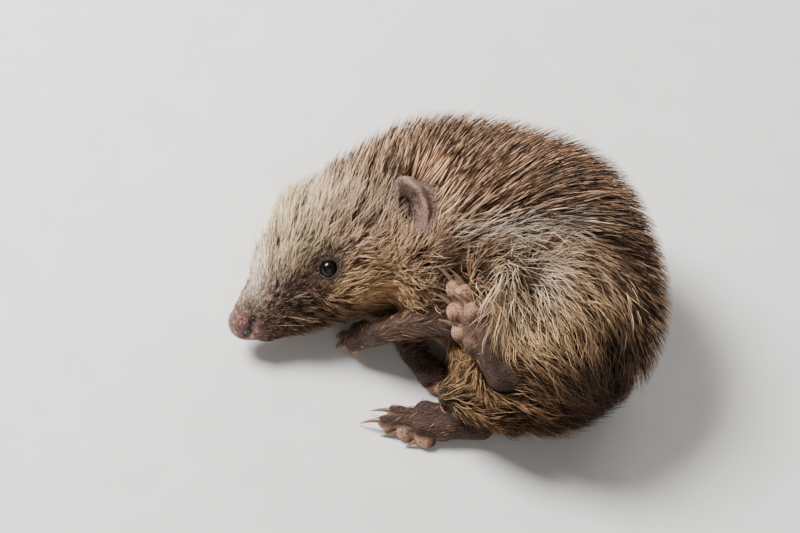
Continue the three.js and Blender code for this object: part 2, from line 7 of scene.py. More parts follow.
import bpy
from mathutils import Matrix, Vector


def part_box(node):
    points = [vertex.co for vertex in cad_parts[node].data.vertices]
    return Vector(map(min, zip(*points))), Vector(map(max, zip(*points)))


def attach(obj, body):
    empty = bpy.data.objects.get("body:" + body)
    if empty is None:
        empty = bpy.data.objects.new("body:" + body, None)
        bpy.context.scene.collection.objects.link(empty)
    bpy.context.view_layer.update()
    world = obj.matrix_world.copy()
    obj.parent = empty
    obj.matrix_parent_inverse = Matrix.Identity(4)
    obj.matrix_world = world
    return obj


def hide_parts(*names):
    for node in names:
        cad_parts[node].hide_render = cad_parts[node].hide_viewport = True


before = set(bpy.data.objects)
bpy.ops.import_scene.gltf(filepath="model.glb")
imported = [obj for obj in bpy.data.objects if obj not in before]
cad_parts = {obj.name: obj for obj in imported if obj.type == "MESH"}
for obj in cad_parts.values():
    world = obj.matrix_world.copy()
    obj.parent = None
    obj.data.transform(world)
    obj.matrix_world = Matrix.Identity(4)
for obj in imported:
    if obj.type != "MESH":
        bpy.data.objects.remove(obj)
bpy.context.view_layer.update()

import math

import bmesh
import bpy
import numpy as np
from mathutils import Vector
from mathutils.kdtree import KDTree

MM = 0.001


# ---- frames and places -------------------------------------------------------------------
def vec(*parts):
    return np.array(parts, float)


def unit(v):
    return v / np.maximum(np.linalg.norm(v, axis=-1, keepdims=True), 1e-9)


def ease(low, high, v):
    t = np.clip((v - low) / (high - low), 0, 1)
    return t * t * (3 - 2 * t)


def mix(a, b, t):
    return a + (b - a) * t


def far(points, place):
    return np.linalg.norm(points - place, axis=-1)


class Frame:
    """An origin and three unit axes, with places given along them."""

    def __init__(self, origin, ex, ey, ez):
        self.origin = origin
        self.axes = np.array([ex, ey, ez])

    def at(self, a, b, c):
        return self.origin + vec(a, b, c) @ self.axes

    def along(self, a, b, c):
        return vec(a, b, c) @ self.axes

    def of(self, points):
        return (points - self.origin) @ self.axes.T


def head_frame():
    ex = unit(vec(0.81, 0.54, 0.2))
    up = vec(-0.585, 0.76, 0.28)
    ey = unit(up - ex * (up @ ex))
    ez = np.cross(ex, ey)
    return Frame(vec(-57, -15.7, -20.6), ex, ey, ez * np.sign(ez[2]))


BODY = Frame(vec(0, 0, 0), *np.eye(3))
HEAD = head_frame()  # starts at the tip of the nose: x runs back, y up to the brow, z to the left

ROLL = math.radians(15)
LIFT = 34.8
EYE_BACK, EYE_UP, EYE_OUT, EYE_RADIUS = 39.6, -2.3, 12.95, 3.7
EYE_BULGE = 0.22  # how far the clear front stands proud of the ball
EARS = {"left": (1, vec(73.4, -1, 31.5)), "right": (-1, vec(73.4, -1, -25))}
EAR_RADII = vec(6.5, 7.5, 10)  # half width, depth and half height of the bowl
CURL = vec(22, -24, 0)  # the spine curls about this place, round z
SIDES = (1, -1)  # left, right

TURN = np.array([
    [1, 0, 0],
    [0, math.cos(ROLL), -math.sin(ROLL)],
    [0, math.sin(ROLL), math.cos(ROLL)],
])


def body_shift():
    """Where the body's own origin stands: its eye is where the frame has it."""
    low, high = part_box("eye_left")
    shift = vec(*((low + high) / 2 / MM)) - TURN @ HEAD.at(EYE_BACK, EYE_UP, EYE_OUT)
    return vec(shift[0], shift[1], LIFT)


SHIFT = body_shift()


def eye_middle(side):
    return HEAD.at(EYE_BACK, EYE_UP, side * EYE_OUT)


def from_curl(points):
    """Places as x and y from the middle of the curl."""
    return points[:, 0] - CURL[0], points[:, 1] - CURL[1]


def angle_round_curl(points):
    x, y = from_curl(points)
    return np.arctan2(y, x)


def in_world(points):
    return (points @ TURN.T + SHIFT) * MM


def height_over_floor(points):
    return points @ TURN[2] + SHIFT[2]


# ---- fields: a number at each point, negative inside --------------------------------------
def egg(place, centre, radii):
    middle, radii = place.at(*centre), vec(*radii)

    def field(points):
        q = (points - middle) @ place.axes.T / radii
        near = np.sqrt((q * q).sum(1))
        q /= radii
        slope = np.sqrt((q * q).sum(1))
        return near * (near - 1) / np.maximum(slope, 1e-6)

    return field


def limb(a, ra, b, rb):
    run = b - a

    def field(points):
        q = points - a
        t = np.clip(q @ run / (run @ run), 0, 1)
        q = q - t[:, None] * run
        return np.sqrt((q * q).sum(1)) - (ra + (rb - ra) * t)

    return field


def smooth_min(soft, a, b):
    h = np.maximum(soft - np.abs(a - b), 0) / soft
    return np.minimum(a, b) - h * h * soft / 4


def flowed(soft, *fields):
    def field(points):
        near = fields[0](points)
        for other in fields[1:]:
            near = smooth_min(soft, near, other(points))
        return near

    return field


def hollowed(soft, d, hollow):
    return -smooth_min(soft, -d, hollow)


def only_near(middle, radius, field):
    """The field, worked out only within `radius`, and a plain distance beyond it."""
    def near_field(points):
        away = far(points, middle)
        d = away - radius * 0.7
        close = away < radius
        if close.any():
            d[close] = field(points[close])
        return d

    return near_field


def line_far(points, *places):
    """Distance from a line through the places."""
    near = np.full(len(points), 1e3)
    for a, b in zip(places, places[1:]):
        near = np.minimum(near, limb(vec(*a), 0, vec(*b), 0)(points))
    return near


def swell(distance, width, height=1):
    return height * np.exp(-((distance / width) ** 2))


# ---- flesh of head and trunk ----------------------------------------------------------------
head_flesh = flowed(
    5,
    egg(HEAD, (4.6, -0.2, 0), (5.2, 5.4, 5)),  # nose pad
    limb(HEAD.at(8, -1, 0), 5.6, HEAD.at(34, -1, 0), 13),  # muzzle
    limb(HEAD.at(13, 4.3, 0), 5, HEAD.at(41, 11.3, 0), 11),  # bridge of the nose and brow
    limb(HEAD.at(10, -7.4, 0), 2.8, HEAD.at(42, -12.5, 0), 7.5),  # lower jaw
    egg(HEAD, (45, -8, 9), (13, 8.5, 8.5)),  # cheeks
    egg(HEAD, (45, -8, -9), (13, 8.5, 8.5)),
    egg(HEAD, (57, 0.5, 0), (23, 20, 20)),  # braincase
)
trunk_flesh = flowed(
    9,
    egg(BODY, (8, 21, -5), (22, 22, 21)),  # nape
    egg(BODY, (22, 13, 0), (27, 28, 26)),  # shoulders
    egg(BODY, (19, 3, -13), (20, 18, 18.5)),  # right shoulder
    egg(BODY, (42, 5, 0), (31, 31, 31)),  # back
    egg(BODY, (50, -13, 0), (28, 28, 29)),  # loin
    egg(BODY, (44, -26, 0), (25, 25, 26)),  # rump
)
fold = limb(vec(10, -31, 10), 17, vec(9, -30, 30), 22)
head_and_trunk = flowed(9, head_flesh, trunk_flesh)


def plain_flesh(points):
    return hollowed(8, head_and_trunk(points), fold(points))


# ---- face -----------------------------------------------------------------------------------
MOUTH = [(4.2, -5.6, 2.2), (8, -7.6, 4), (16, -8.4, 7.6), (26, -9.6, 11), (31, -9.4, 13)]
NOSTRIL = [(2.6, -3.9, 4.0), (5.4, -3.0, 5.6), (8.4, -1.2, 6.4)]
WING = [(4.6, -6.2, 4.4), (7.0, -5.4, 5.2), (9.4, -3.2, 6.0), (10.2, -1.2, 6.4)]
PHILTRUM = [(-1, 3.2, 0), (-0.4, -2, 0), (2.2, -6.4, 0)]
PAD_EDGE = [(8.6, 4.2, 0), (8.8, 2.6, 4.4), (9.6, -2, 6.3)]
TEAR = [(36.8, -2.3, 14.8), (34.2, -2.6, 13.8)]
UPPER_LID = [(35.5, 0.3, 14.6), (37.6, 2.9, 15.2), (40.7, 3.4, 15.5), (43.7, 1.3, 15.3)]
LOWER_LID = [(36, -5.5, 14.2), (39, -7.3, 14.7), (42.7, -6.3, 15.1)]
EYE_AXIS = unit(vec(-0.06, 0.06, 1))
EYE_OPENING = 2.95  # half its width; it is a little lower than wide


def halves(points):
    """Places in the head's frame, with the right half laid on the left."""
    h = HEAD.of(points)
    h[:, 2] = np.abs(h[:, 2])
    return h


def eye_ring(h):
    """How far places are from the lids' rim, outside the opening, and along the eye's axis."""
    q = h - vec(EYE_BACK, EYE_UP, EYE_OUT)
    along = q @ EYE_AXIS
    flat = q - along[:, None] * EYE_AXIS
    outside = np.hypot(flat[:, 0], 1.12 * flat[:, 1]) - EYE_OPENING
    return np.hypot(outside - 0.3, along - 2.35), outside, along


def face_worked(points, d):
    """The folds, lids, nostrils and lips of the face, worked into the plain flesh."""
    h = halves(points)
    ring, outside, along = eye_ring(h)
    d = d - swell(ring, 0.6, 0.55)
    d = d + swell(line_far(h, *UPPER_LID), 0.55, 0.35)
    d = d + swell(line_far(h, *LOWER_LID), 0.6, 0.25)
    d = hollowed(0.25, d, np.maximum(outside, 0.8 - along))
    d = d + swell(line_far(h, *TEAR), 0.42, 0.55)
    d = d + swell(line_far(h, *NOSTRIL[:2]), 1.15, 2.8)
    d = d + swell(line_far(h, *NOSTRIL[1:]), 0.9, 1.9)
    d = d - swell(line_far(h, *WING), 1.15, 1.0)
    d = d - swell(far(h, vec(3.0, 1.6, 2.6)), 2.2, 0.5)  # the pad's two upper lobes
    d = d + swell(line_far(h, *PHILTRUM), 0.6, 0.7)
    d = d + swell(line_far(h, *MOUTH), 0.55, 0.75)
    d = d - swell(line_far(h, *[(x, y + 1.7, z) for x, y, z in MOUTH[1:4]]), 1.4, 0.35)
    d = d + swell(line_far(h, *PAD_EDGE), 0.6, 0.35)
    return d


# ---- ears -----------------------------------------------------------------------------------
def ear_frame(side, place):
    axis = unit(HEAD.along(-0.62, 0.05, 0.78 * side))
    across = unit(np.cross(axis, HEAD.along(0.35, 0.94, 0)))
    return Frame(HEAD.at(*place), across, axis, np.cross(across, axis))


EAR_FRAMES = [ear_frame(*ear) for ear in EARS.values()]
EAR_WALL = 1.3


def to_front(place):
    """1 or -1: which way along an ear's first axis the face lies."""
    return -np.sign(place.axes[0] @ HEAD.axes[0])


def with_ear(place):
    shell = egg(place, (0, 0, 0), EAR_RADII)
    front = to_front(place)
    floor_of_bowl = egg(place, (0, 3.6, 0), EAR_RADII - EAR_WALL + vec(0.4, 0.2, 0.2))
    opening = egg(place, (3.0 * front, -1.2, -1.5), (1.9, 4.6, 4.6))
    # the two folds on the bowl's floor
    folds = [(-front * x, y, z) for x, y, z in ((1.0, -2.2, -5), (2.2, -1.6, 0.4), (0.8, -1.9, 5))]

    def bowl(points):
        return np.minimum(floor_of_bowl(points), opening(points))

    def work(points, d):
        local = place.of(points)
        inside = bowl(points)
        d = hollowed(1.2, d, np.maximum(inside, local[:, 1] - 4))
        cut = local[:, 1] - 0.2 + 0.3 * np.maximum(front * local[:, 0] - 1.5, 0)
        rim = -smooth_min(0.8, -hollowed(0.5, shell(points), inside), -cut)
        rim = rim - swell(line_far(local, *folds), 0.8, 0.5)
        return smooth_min(1.4, d, rim)

    return work


ear_works = [(place.origin, with_ear(place)) for place in EAR_FRAMES]


def body_flesh(points):
    """Head and trunk, with the face and the ears worked in where they are near."""
    d = plain_flesh(points)
    close = far(points, HEAD.at(20, 0, 0)) < 40
    if close.any():
        d[close] = face_worked(points[close], d[close])
    for middle, work in ear_works:
        close = far(points, middle) < 16
        if close.any():
            d[close] = work(points[close], d[close])
    return d


# ---- legs, feet and tail ----------------------------------------------------------------------
# Each toe's root and tip, in shares of the foot's length and width, and how far the tip
# stands out of the sole, in shares of its width; the inner toe comes first.
TOES = [
    ((0.46, 0.26), (0.6, 0.48), 0.12),
    ((0.56, 0.22), (0.77, 0.34), 0.14),
    ((0.64, 0.1), (0.94, 0.16), 0.03),
    ((0.64, -0.1), (0.87, -0.14), 0.03),
    ((0.52, -0.22), (0.72, -0.26), 0.2),
]


class Foot:
    """A foot: its frame starts at the heel, x runs to the toes, z out of the sole."""

    def __init__(self, heel, toes, sole, length, width, thick, hand):
        heel, toes, sole = vec(*heel), vec(*toes), vec(*sole)
        ex = unit(toes - heel)
        ez = unit(sole - ex * (sole @ ex))
        self.frame = Frame(heel, ex, np.cross(ez, ex), ez)
        self.length, self.width, self.thick, self.hand = length, width, thick, hand
        self.middle = self.frame.at(length / 2, 0, 0)
        self.toes = [
            (self.spot(*root), self.spot(*tip, low)) for root, tip, low in TOES
        ]

    def spot(self, along, across, out=0.0):
        return self.frame.at(along * self.length, across * self.width * self.hand, out * self.width)

    def pad(self, along, across, out, *radii):
        centre = (along * self.length, across * self.width * self.hand, out * self.width)
        return egg(self.frame, centre, radii)

    def field(self):
        length, width, thick = self.length, self.width, self.thick
        sole = [
            limb(self.frame.at(0.1 * length, 0.25 * share * width, 0), thick,
                 self.frame.at(0.6 * length, share * width, 0), thick * 0.95)
            for share in (-0.24, 0.24)
        ]
        toes = [limb(root, thick * 0.6, tip, thick * 0.5) for root, tip in self.toes]
        balls = []
        for (_, tip), (root_share, _, _) in zip(self.toes, TOES):
            x, y, z = self.frame.of(tip)
            centre = (x - 0.04 * length, y, z + 0.06 * width)
            balls.append(egg(self.frame, centre, (0.088 * length, 0.19 * width, 0.18 * width)))
            balls.append(self.pad(*root_share, 0.13, 0.075 * length, 0.135 * width, 0.13 * width))
        heel_pads = [
            self.pad(0.43, 0.27, 0.2, 0.09 * length, 0.15 * width, 0.17 * width),
            self.pad(0.3, -0.2, 0.14, 0.12 * length, 0.16 * width, 0.15 * width),
        ]
        whole = flowed(0.9, flowed(2.5, *sole), *toes, *heel_pads, *balls)
        return only_near(self.middle, 0.5 * length + 0.9 * width, whole)


# Each leg's joints, from hip or shoulder down, the radii of its two parts, and its foot.
LEGS = {
    "hind_left": (
        [(54, -24, 6), (34, -13, 23), (36.5, -40, 13.5)],
        (17, 10, 6.5, 4.6),
        Foot((33.5, -46, 12), (19, -14.5, 23), (-0.75, -0.35, 0.62), 39, 13.5, 3.7, 1),
    ),
    "hind_right": (
        [(52, -24, -8), (33, -21, -18.5), (35, -47, -16.5)],
        (15, 9, 6, 4.6),
        Foot((31, -51, -17), (-5, -46, -18.6), (0.1, -0.2, -1), 39, 13.5, 3.7, -1),
    ),
    "fore_left": (
        [(20, 0, 14), (17.5, -19, 3.5), (-7, -19.5, -12)],
        (10, 6, 5.4, 3.6),
        Foot((-6, -19.6, -11), (-20, -17, -26.5), (0.85, -0.25, -0.6), 23, 10.5, 2.9, 1),
    ),
    "fore_right": (
        [(16, 0, -19), (-6, -3, -26.5), (4.5, -22, -25)],
        (9, 5, 4.6, 3.6),
        Foot((3, -21, -25), (16, -37, -20), (0.1, 0.2, -1), 23, 10.5, 2.9, -1),
    ),
}
TAIL = ((31, -47, 0), 6.5, (15, -44, -5), 2.6)


def limb_between(a, ra, b, rb):
    a, b = vec(*a), vec(*b)
    middle = (a + b) / 2
    return only_near(middle, far(a, b) / 2 + max(ra, rb) + 8, limb(a, ra, b, rb))


def leg_part(leg, n):
    """The upper part of a leg, 0, or its lower part, 1."""
    joints, radii, _ = LEGS[leg]
    return limb_between(joints[n], radii[2 * n], joints[n + 1], radii[2 * n + 1])


FEET = [foot for _, _, foot in LEGS.values()]
uppers = {leg: leg_part(leg, 0) for leg in LEGS}
lowers = {leg: leg_part(leg, 1) for leg in LEGS}
feet = {leg: LEGS[leg][2].field() for leg in LEGS}
tail = limb_between(*TAIL)
whole_legs = [flowed(3, uppers[leg], lowers[leg], feet[leg]) for leg in LEGS]


def skin_field(points):
    return flowed(2.2, body_flesh, tail, *whole_legs)(points)


def coarse_flesh(points):
    """The same body without the small work, for the coat to grow over."""
    return flowed(3, plain_flesh, tail, *whole_legs)(points)


def slope_of(field, points, step=0.3):
    """A field's value and its gradient, which points outwards."""
    d = field(points)
    grad = np.stack([field(points + step * axis) - d for axis in np.eye(3)], axis=1) / step
    return d, grad


# ---- a mesh from a field ------------------------------------------------------------------------
BLOCK = 4  # grid steps along one side of a block
CORNERS = [np.array((n & 1, (n >> 1) & 1, n >> 2)) for n in range(8)]


def grid_values(field, low, count, step):
    """The field on a grid, worked out only in the blocks that the surface may cross."""
    blocks = np.stack(np.meshgrid(*[np.arange(n // BLOCK) for n in count], indexing="ij"), -1)
    blocks = blocks.reshape(-1, 3)
    middle = low + (blocks * BLOCK + (BLOCK - 1) / 2) * step
    d = field(middle)
    reach = 1.7 * (BLOCK - 1) / 2 * step * math.sqrt(3) + 2 * step
    cells = np.stack(np.meshgrid(*[np.arange(BLOCK)] * 3, indexing="ij"), -1).reshape(-1, 3)
    values = np.where(d < 0, -9.0, 9.0)[:, None].repeat(len(cells), 1)
    near = np.flatnonzero(np.abs(d) < reach)
    for some in np.array_split(near, max(1, len(near) // 1500)):
        spots = blocks[some][:, None] * BLOCK + cells
        values[some] = field((low + spots * step).reshape(-1, 3)).reshape(len(some), -1)
    grid = np.empty(count)
    spots = blocks[:, None] * BLOCK + cells
    grid[spots[..., 0], spots[..., 1], spots[..., 2]] = values
    return grid


def netted(field, low, high, step):
    """A closed sheet of quads where the field crosses zero: one vertex in each crossed cell."""
    count = (np.ceil((high - low) / step).astype(int) // BLOCK + 1) * BLOCK
    grid = grid_values(field, low, count, step)
    inside = grid < 0
    cells = tuple(np.array(grid.shape) - 1)
    total = sum(
        inside[tuple(slice(c, c + n) for c, n in zip(corner, cells))].astype(int)
        for corner in CORNERS
    )
    crossed = np.argwhere((total > 0) & (total < 8))
    summed, crossings = np.zeros((len(crossed), 3)), np.zeros(len(crossed))
    for corner in CORNERS:
        for axis in range(3):
            if corner[axis]:
                continue
            start = crossed + corner
            end = start + np.eye(3, dtype=int)[axis]
            a, b = grid[tuple(start.T)], grid[tuple(end.T)]
            cut = (a < 0) != (b < 0)
            spot = start.astype(float)
            spot[:, axis] += np.where(cut, a / np.where(cut, a - b, 1), 0)
            summed[cut] += spot[cut]
            crossings += cut
    vertices = low + summed / crossings[:, None] * step
    number = np.full(cells, -1)
    number[tuple(crossed.T)] = np.arange(len(crossed))
    quads = []
    for axis in range(3):
        one = np.eye(3, dtype=int)
        k, p, q = one[axis], one[(axis + 1) % 3], one[(axis + 2) % 3]
        here = inside[tuple(slice(0, n - s) for n, s in zip(inside.shape, k))]
        there = inside[tuple(slice(s, None) for s in k)]
        edge = np.argwhere(here != there)
        ring = np.stack([number[tuple((edge - off).T)] for off in (p + q, q, 0 * p, p)], 1)
        turned = ~inside[tuple(edge.T)]
        ring[turned] = ring[turned][:, ::-1]
        quads.append(ring)
    return vertices, np.concatenate(quads)


def onto(field, vertices, rounds=2, most=0.8):
    """Vertices moved onto the field's surface."""
    for _ in range(rounds):
        d, grad = slope_of(field, vertices, 0.1)
        move = d / np.maximum((grad * grad).sum(1), 0.15)
        vertices = vertices - np.clip(move, -most, most)[:, None] * grad
    return vertices


def relaxed(vertices, quads, share):
    """Vertices drawn towards the mean of their neighbours."""
    a = quads.ravel()
    b = np.roll(quads, -1, axis=1).ravel()
    ends, others = np.concatenate([a, b]), np.concatenate([b, a])
    n = len(vertices)
    degree = np.bincount(ends, minlength=n)[:, None]
    mean = np.stack([np.bincount(ends, vertices[others, k], n) for k in range(3)], 1) / degree
    return mix(vertices, mean, share)


def mesh_from(name, vertices, faces):
    mesh = bpy.data.meshes.new(name)
    mesh.from_pydata(vertices, [], faces)
    mesh.update()
    return mesh


def coordinates(mesh):
    co = np.empty(len(mesh.vertices) * 3, np.float32)
    mesh.vertices.foreach_get("co", co)
    return co.reshape(-1, 3).astype(float)


def set_coordinates(mesh, points):
    mesh.vertices.foreach_set("co", points.astype(np.float32).ravel())
    mesh.update()


def finer_near(mesh, spots):
    """Splits the faces near each (place, radius), for the small forms there."""
    bm = bmesh.new()
    bm.from_mesh(mesh)
    centres = np.array([face.calc_center_median() for face in bm.faces])
    chosen = np.zeros(len(centres), bool)
    for place, radius in spots:
        chosen |= far(centres, place) < radius
    edges = {edge for face, take in zip(bm.faces, chosen) if take for edge in face.edges}
    bmesh.ops.subdivide_edges(bm, edges=list(edges), cuts=1, use_grid_fill=True)
    bmesh.ops.triangulate(bm, faces=[face for face in bm.faces if len(face.verts) > 4])
    bm.to_mesh(mesh)
    bm.free()


SKIN_STEP = 0.9
SKIN_BOX = (vec(-66, -66, -46), vec(86, 62, 46))


def skin_mesh():
    vertices, quads = netted(skin_field, *SKIN_BOX, SKIN_STEP)
    vertices = onto(skin_field, relaxed(vertices, quads, 0.5))
    vertices = onto(skin_field, relaxed(vertices, quads, 0.35))
    mesh = mesh_from("skin", vertices, quads.tolist())
    fine = [(eye_middle(side), 7) for side in SIDES]
    fine.append((HEAD.at(4.5, -2, 0), 9.5))  # nose
    fine += [(place.at(0, -1, 0), 10.5) for place in EAR_FRAMES]
    fine += [(foot.frame.at(0.62 * foot.length, 0, 2), 0.36 * foot.length) for foot in FEET]
    finest = [(eye_middle(side), 5.4) for side in SIDES]
    finest.append((HEAD.at(4.5, -3, 0), 7.5))
    for spots in (fine, finest):
        finer_near(mesh, spots)
        set_coordinates(mesh, onto(skin_field, coordinates(mesh)))
    return mesh


# ---- the lie, length and colour of the coat ---------------------------------------------------
THIGHS = [uppers["hind_left"], uppers["hind_right"], lowers["hind_right"]]
THIN_LEGS = [uppers["fore_left"], uppers["fore_right"]]
THIN_LEGS += [lowers[leg] for leg in LEGS if leg != "hind_right"]


def zones(points):
    """How much of each place belongs to the trunk and head, thighs, legs, feet, tail and ears."""
    def nearest(fields):
        return np.min([field(points) for field in fields], 0)

    ears = ease(2.4, 0.5, np.min([
        np.maximum(egg(place, (0, 0, 0), EAR_RADII)(points), place.of(points)[:, 1] - 3)
        for place in EAR_FRAMES
    ], 0))
    d = np.stack([
        plain_flesh(points),
        nearest(THIGHS),
        nearest(THIN_LEGS),
        nearest(feet.values()),
        tail(points),
    ])
    w = np.exp(-(d - d.min(0)) / 1.1)
    w *= (1 - ears) / w.sum(0)
    return dict(zip(("trunk", "thigh", "leg", "foot", "tail", "ear"), [*w, ears]))


def mantle(points):
    """From 0 on the belly to 1 on the back, where the quills stand."""
    x, y = from_curl(points)
    border = mix(28, 45, ease(1.3, 0.55, np.arctan2(y, x)))
    return ease(border - 4, border + 5, np.hypot(x, y))


def towards_quills(points):
    """From 0 on the face to 1 on the crown and behind the ears."""
    h = HEAD.of(points)
    up = h[:, 1]
    return ease(68, 82, h[:, 0] + np.where(up > 0, 1.1, 0.5) * up + np.clip(up - 2, 0, 7))


def quilled(points):
    """How thickly the quills stand: from 0 where there are none to 1 on the back."""
    return mantle(points) * towards_quills(points)


WHORL = vec(39.6, -14.8, 27)  # the hair of the flank parts round this place
WHORL_EDGE = WHORL + vec(4, 4, 0)
WHORL_SIDE = WHORL + vec(1.6, 1.6, 0)


def on_head(back, up, out, angle, reach):
    """A known lie on both sides of the head, as an angle up from straight back."""
    turned = math.radians(angle)
    way = HEAD.along(math.cos(turned), math.sin(turned), 0)
    return [(HEAD.at(back, up, side * out), way, reach) for side in SIDES]


# Where the coat's lie is known: a place, the way the hair lies there, and how far it reaches.
LIES = [
    *on_head(17, 8, 4, 32, 8),  # bridge of the nose
    *on_head(34, 14, 8, 20, 11),  # brow
    *on_head(50, 17, 10, 14, 13),
    *on_head(52, 3, 18, 4, 10),  # temple
    *on_head(48, -9, 16, -3, 10),  # cheek
    *on_head(28, -9, 10, -12, 9),  # jaw
    *on_head(24, 0, 10, 8, 8),  # side of the muzzle
    (vec(13, -4, 17), (0.88, 0.45, 0.12), 10),  # side of the neck
    (vec(14, 12, 20), (0.86, 0.5, 0.1), 10),
    (vec(31.9, 0, 28.7), (0.97, 0.2, 0.02), 9),  # stripe
    (vec(54.5, 7.1, 28.4), (0.99, -0.05, 0), 14),
    (vec(28, -6.5, 25), (0.99, 0.02, 0), 6),  # fold below it
    (vec(54, -18, 26), (0.78, -0.6, 0), 10),  # flank
    (vec(52, -40, 17), (0.3, -0.94, -0.1), 13),  # back of the thigh
    (vec(30, -28, 26), (-0.3, -0.95, -0.1), 8),  # front of the thigh
    (vec(25, -40, 6), (1, -0.12, 0), 12),  # belly
    (vec(20, -30, 0), (1, -0.05, 0), 14),
]


def lie(points):
    """The way the hair lies at each place, before it is laid along the skin."""
    x, y = from_curl(points)
    out = unit(np.stack([x, y, 0 * x], 1))
    past = np.stack([out[:, 1], -out[:, 0], 0 * x], 1)
    trunk = 0.87 * past + 0.5 * out * mantle(points)[:, None]
    h = HEAD.of(points)
    head = HEAD.along(1, 0.12, 0) + 0.35 * unit(h[:, 1:]) @ HEAD.axes[1:]
    past_head = ease(52, 80, h[:, 0] + 0.3 * h[:, 1])[:, None]
    way = unit(mix(unit(head), unit(trunk), past_head)) * 0.3
    for place, direction, reach in LIES:
        way = way + swell(far(points, place), reach)[:, None] * unit(vec(*direction))
    at_whorl = swell(far(points, WHORL), 9.5)[:, None]
    return unit(mix(unit(way), unit(points - WHORL), at_whorl))


def eye_far(points):
    return far(halves(points), vec(EYE_BACK, EYE_UP, EYE_OUT + 2))


def ear_far(points):
    return np.min([far(points, place.origin) for place in EAR_FRAMES], 0)


# Off the trunk and head: depth of the coat, length of its hairs, hairs for each square millimetre.
DEPTHS = {"thigh": 5.0, "leg": 1.5, "foot": 0.7, "ear": 2.2, "tail": 3.5}
LENGTHS = {"leg": 5.5, "foot": 2.4, "ear": 4.6, "tail": 10.0}
DENSITIES = {"thigh": 2.3, "leg": 1.3, "foot": 1.0, "ear": 6.0, "tail": 3.2}


def with_parts(value, parts, zone):
    """The value, with what each part adds where a place belongs to it."""
    for part, own in parts.items():
        value = value + own * zone[part]
    return value


def coat_depth(points, zone):
    """How deep the hair stands over the skin."""
    h = halves(points)
    back, up = h[:, 0], h[:, 1]
    face = mix(0.5, 3.2, ease(7, 20, back))
    crown = mix(face, 6.5, ease(34, 56, back)) + 2.6 * ease(4, 14, up) * ease(12, 24, back)
    trunk = mix(5.0, 8.0, mantle(points))
    depth = mix(crown, trunk, ease(70, 86, back + 0.5 * up)) * zone["trunk"]
    depth = with_parts(depth, DEPTHS, zone)
    depth = depth * mix(0.12, 1, ease(3.4, 9, eye_far(points)))
    return depth * mix(0.35, 1, ease(9, 17, ear_far(points)))


def hair_length(points, zone):
    h = halves(points)
    back, up = h[:, 0], h[:, 1]
    face = mix(mix(1.3, 3.8, ease(8, 18, back)), 9.5, ease(20, 46, back))
    face = face + 2.8 * ease(3, 12, up) * ease(11, 20, back)
    mask = np.exp(-(((back - 30) / 12) ** 2) - ((up + 3) / 7) ** 2)
    crown = mix(face * (1 - 0.45 * mask), 14.0, ease(48, 70, back))
    trunk = mix(13.0, 17.0, mantle(points))
    length = mix(crown, trunk, ease(70, 90, back))
    thigh = mix(12.0, 19.0, ease(-12, 6, points[:, 2])) * mix(0.6, 1, ease(25, 36, points[:, 0]))
    length = length * zone["trunk"] + thigh * zone["thigh"]
    length = with_parts(length, LENGTHS, zone)
    length = length * mix(0.14, 1, ease(3.0, 9.5, eye_far(points)))
    return length * mix(0.32, 1, ease(9.5, 17, ear_far(points)))


def sole_side(points):
    """1 on the bare soles and toes, 0 on the backs of the feet."""
    bare = np.zeros(len(points))
    for foot in FEET:
        along, across, out = foot.frame.of(points).T
        over = (along > -4) & (along < foot.length * 1.1) & (np.abs(across) < foot.width)
        bare = np.maximum(bare, over * (np.abs(out) < 9) * ease(-1.5, 0.8, out))
    return bare


def nose_pad(points):
    """1 on the bare nose, 0 from its hair line back."""
    h = halves(points)
    line = 7.6 - 0.5 * np.clip(h[:, 1], -2, 6) + 0.1 * h[:, 2]
    return ease(0.9, -0.9, h[:, 0] - line) * ease(-9, -6.6, h[:, 1])


def hair_density(points, zone):
    """Hairs for each square millimetre."""
    h = halves(points)
    face = mix(9.0, 5.6, ease(16, 40, h[:, 0]))
    trunk = mix(2.7, 0.3, quilled(points))
    head = mix(face, 3.8, ease(50, 75, h[:, 0])) * mix(1, 0.12, quilled(points))
    coat = mix(head, trunk, ease(70, 90, h[:, 0])) * zone["trunk"]
    coat = with_parts(coat, DENSITIES, zone)
    coat *= 1 + 2.0 * swell(far(points, WHORL), 4.5)
    coat *= 1 + 2.4 * swell(far(points, WHORL_EDGE), 4.5)
    coat *= (1 - nose_pad(points)) * (1 - sole_side(points) * (zone["foot"] > 0.3))
    coat *= ease(3.3, 4.4, eye_far(points))
    return coat * mix(0.3, 1, ease(0.5, 5, height_over_floor(points)))


def paint(red, green, blue):
    """A colour given as it looks, from 0 to 255, as linear light."""
    c = vec(red, green, blue) / 255
    return np.where(c <= 0.04045, c / 12.92, ((c + 0.055) / 1.055) ** 2.4)


class Marking:
    """A marking of the coat: its pale and dark hairs, and the share of dark ones."""

    def __init__(self, pale, dark, share, *spots):
        self.pale, self.dark, self.share, self.spots = paint(*pale), paint(*dark), share, spots

    def weight(self, points):
        mirrored = np.stack([points[:, 0], points[:, 1], -points[:, 2]], 1)
        total = np.zeros(len(points))
        for place, reach in self.spots:
            near = np.minimum(far(points, place), far(mirrored, place) + 2)
            total += swell(near, reach)
        return total


def both_sides(back, up, out, reach):
    return [(HEAD.at(back, up, side * out), reach) for side in SIDES]


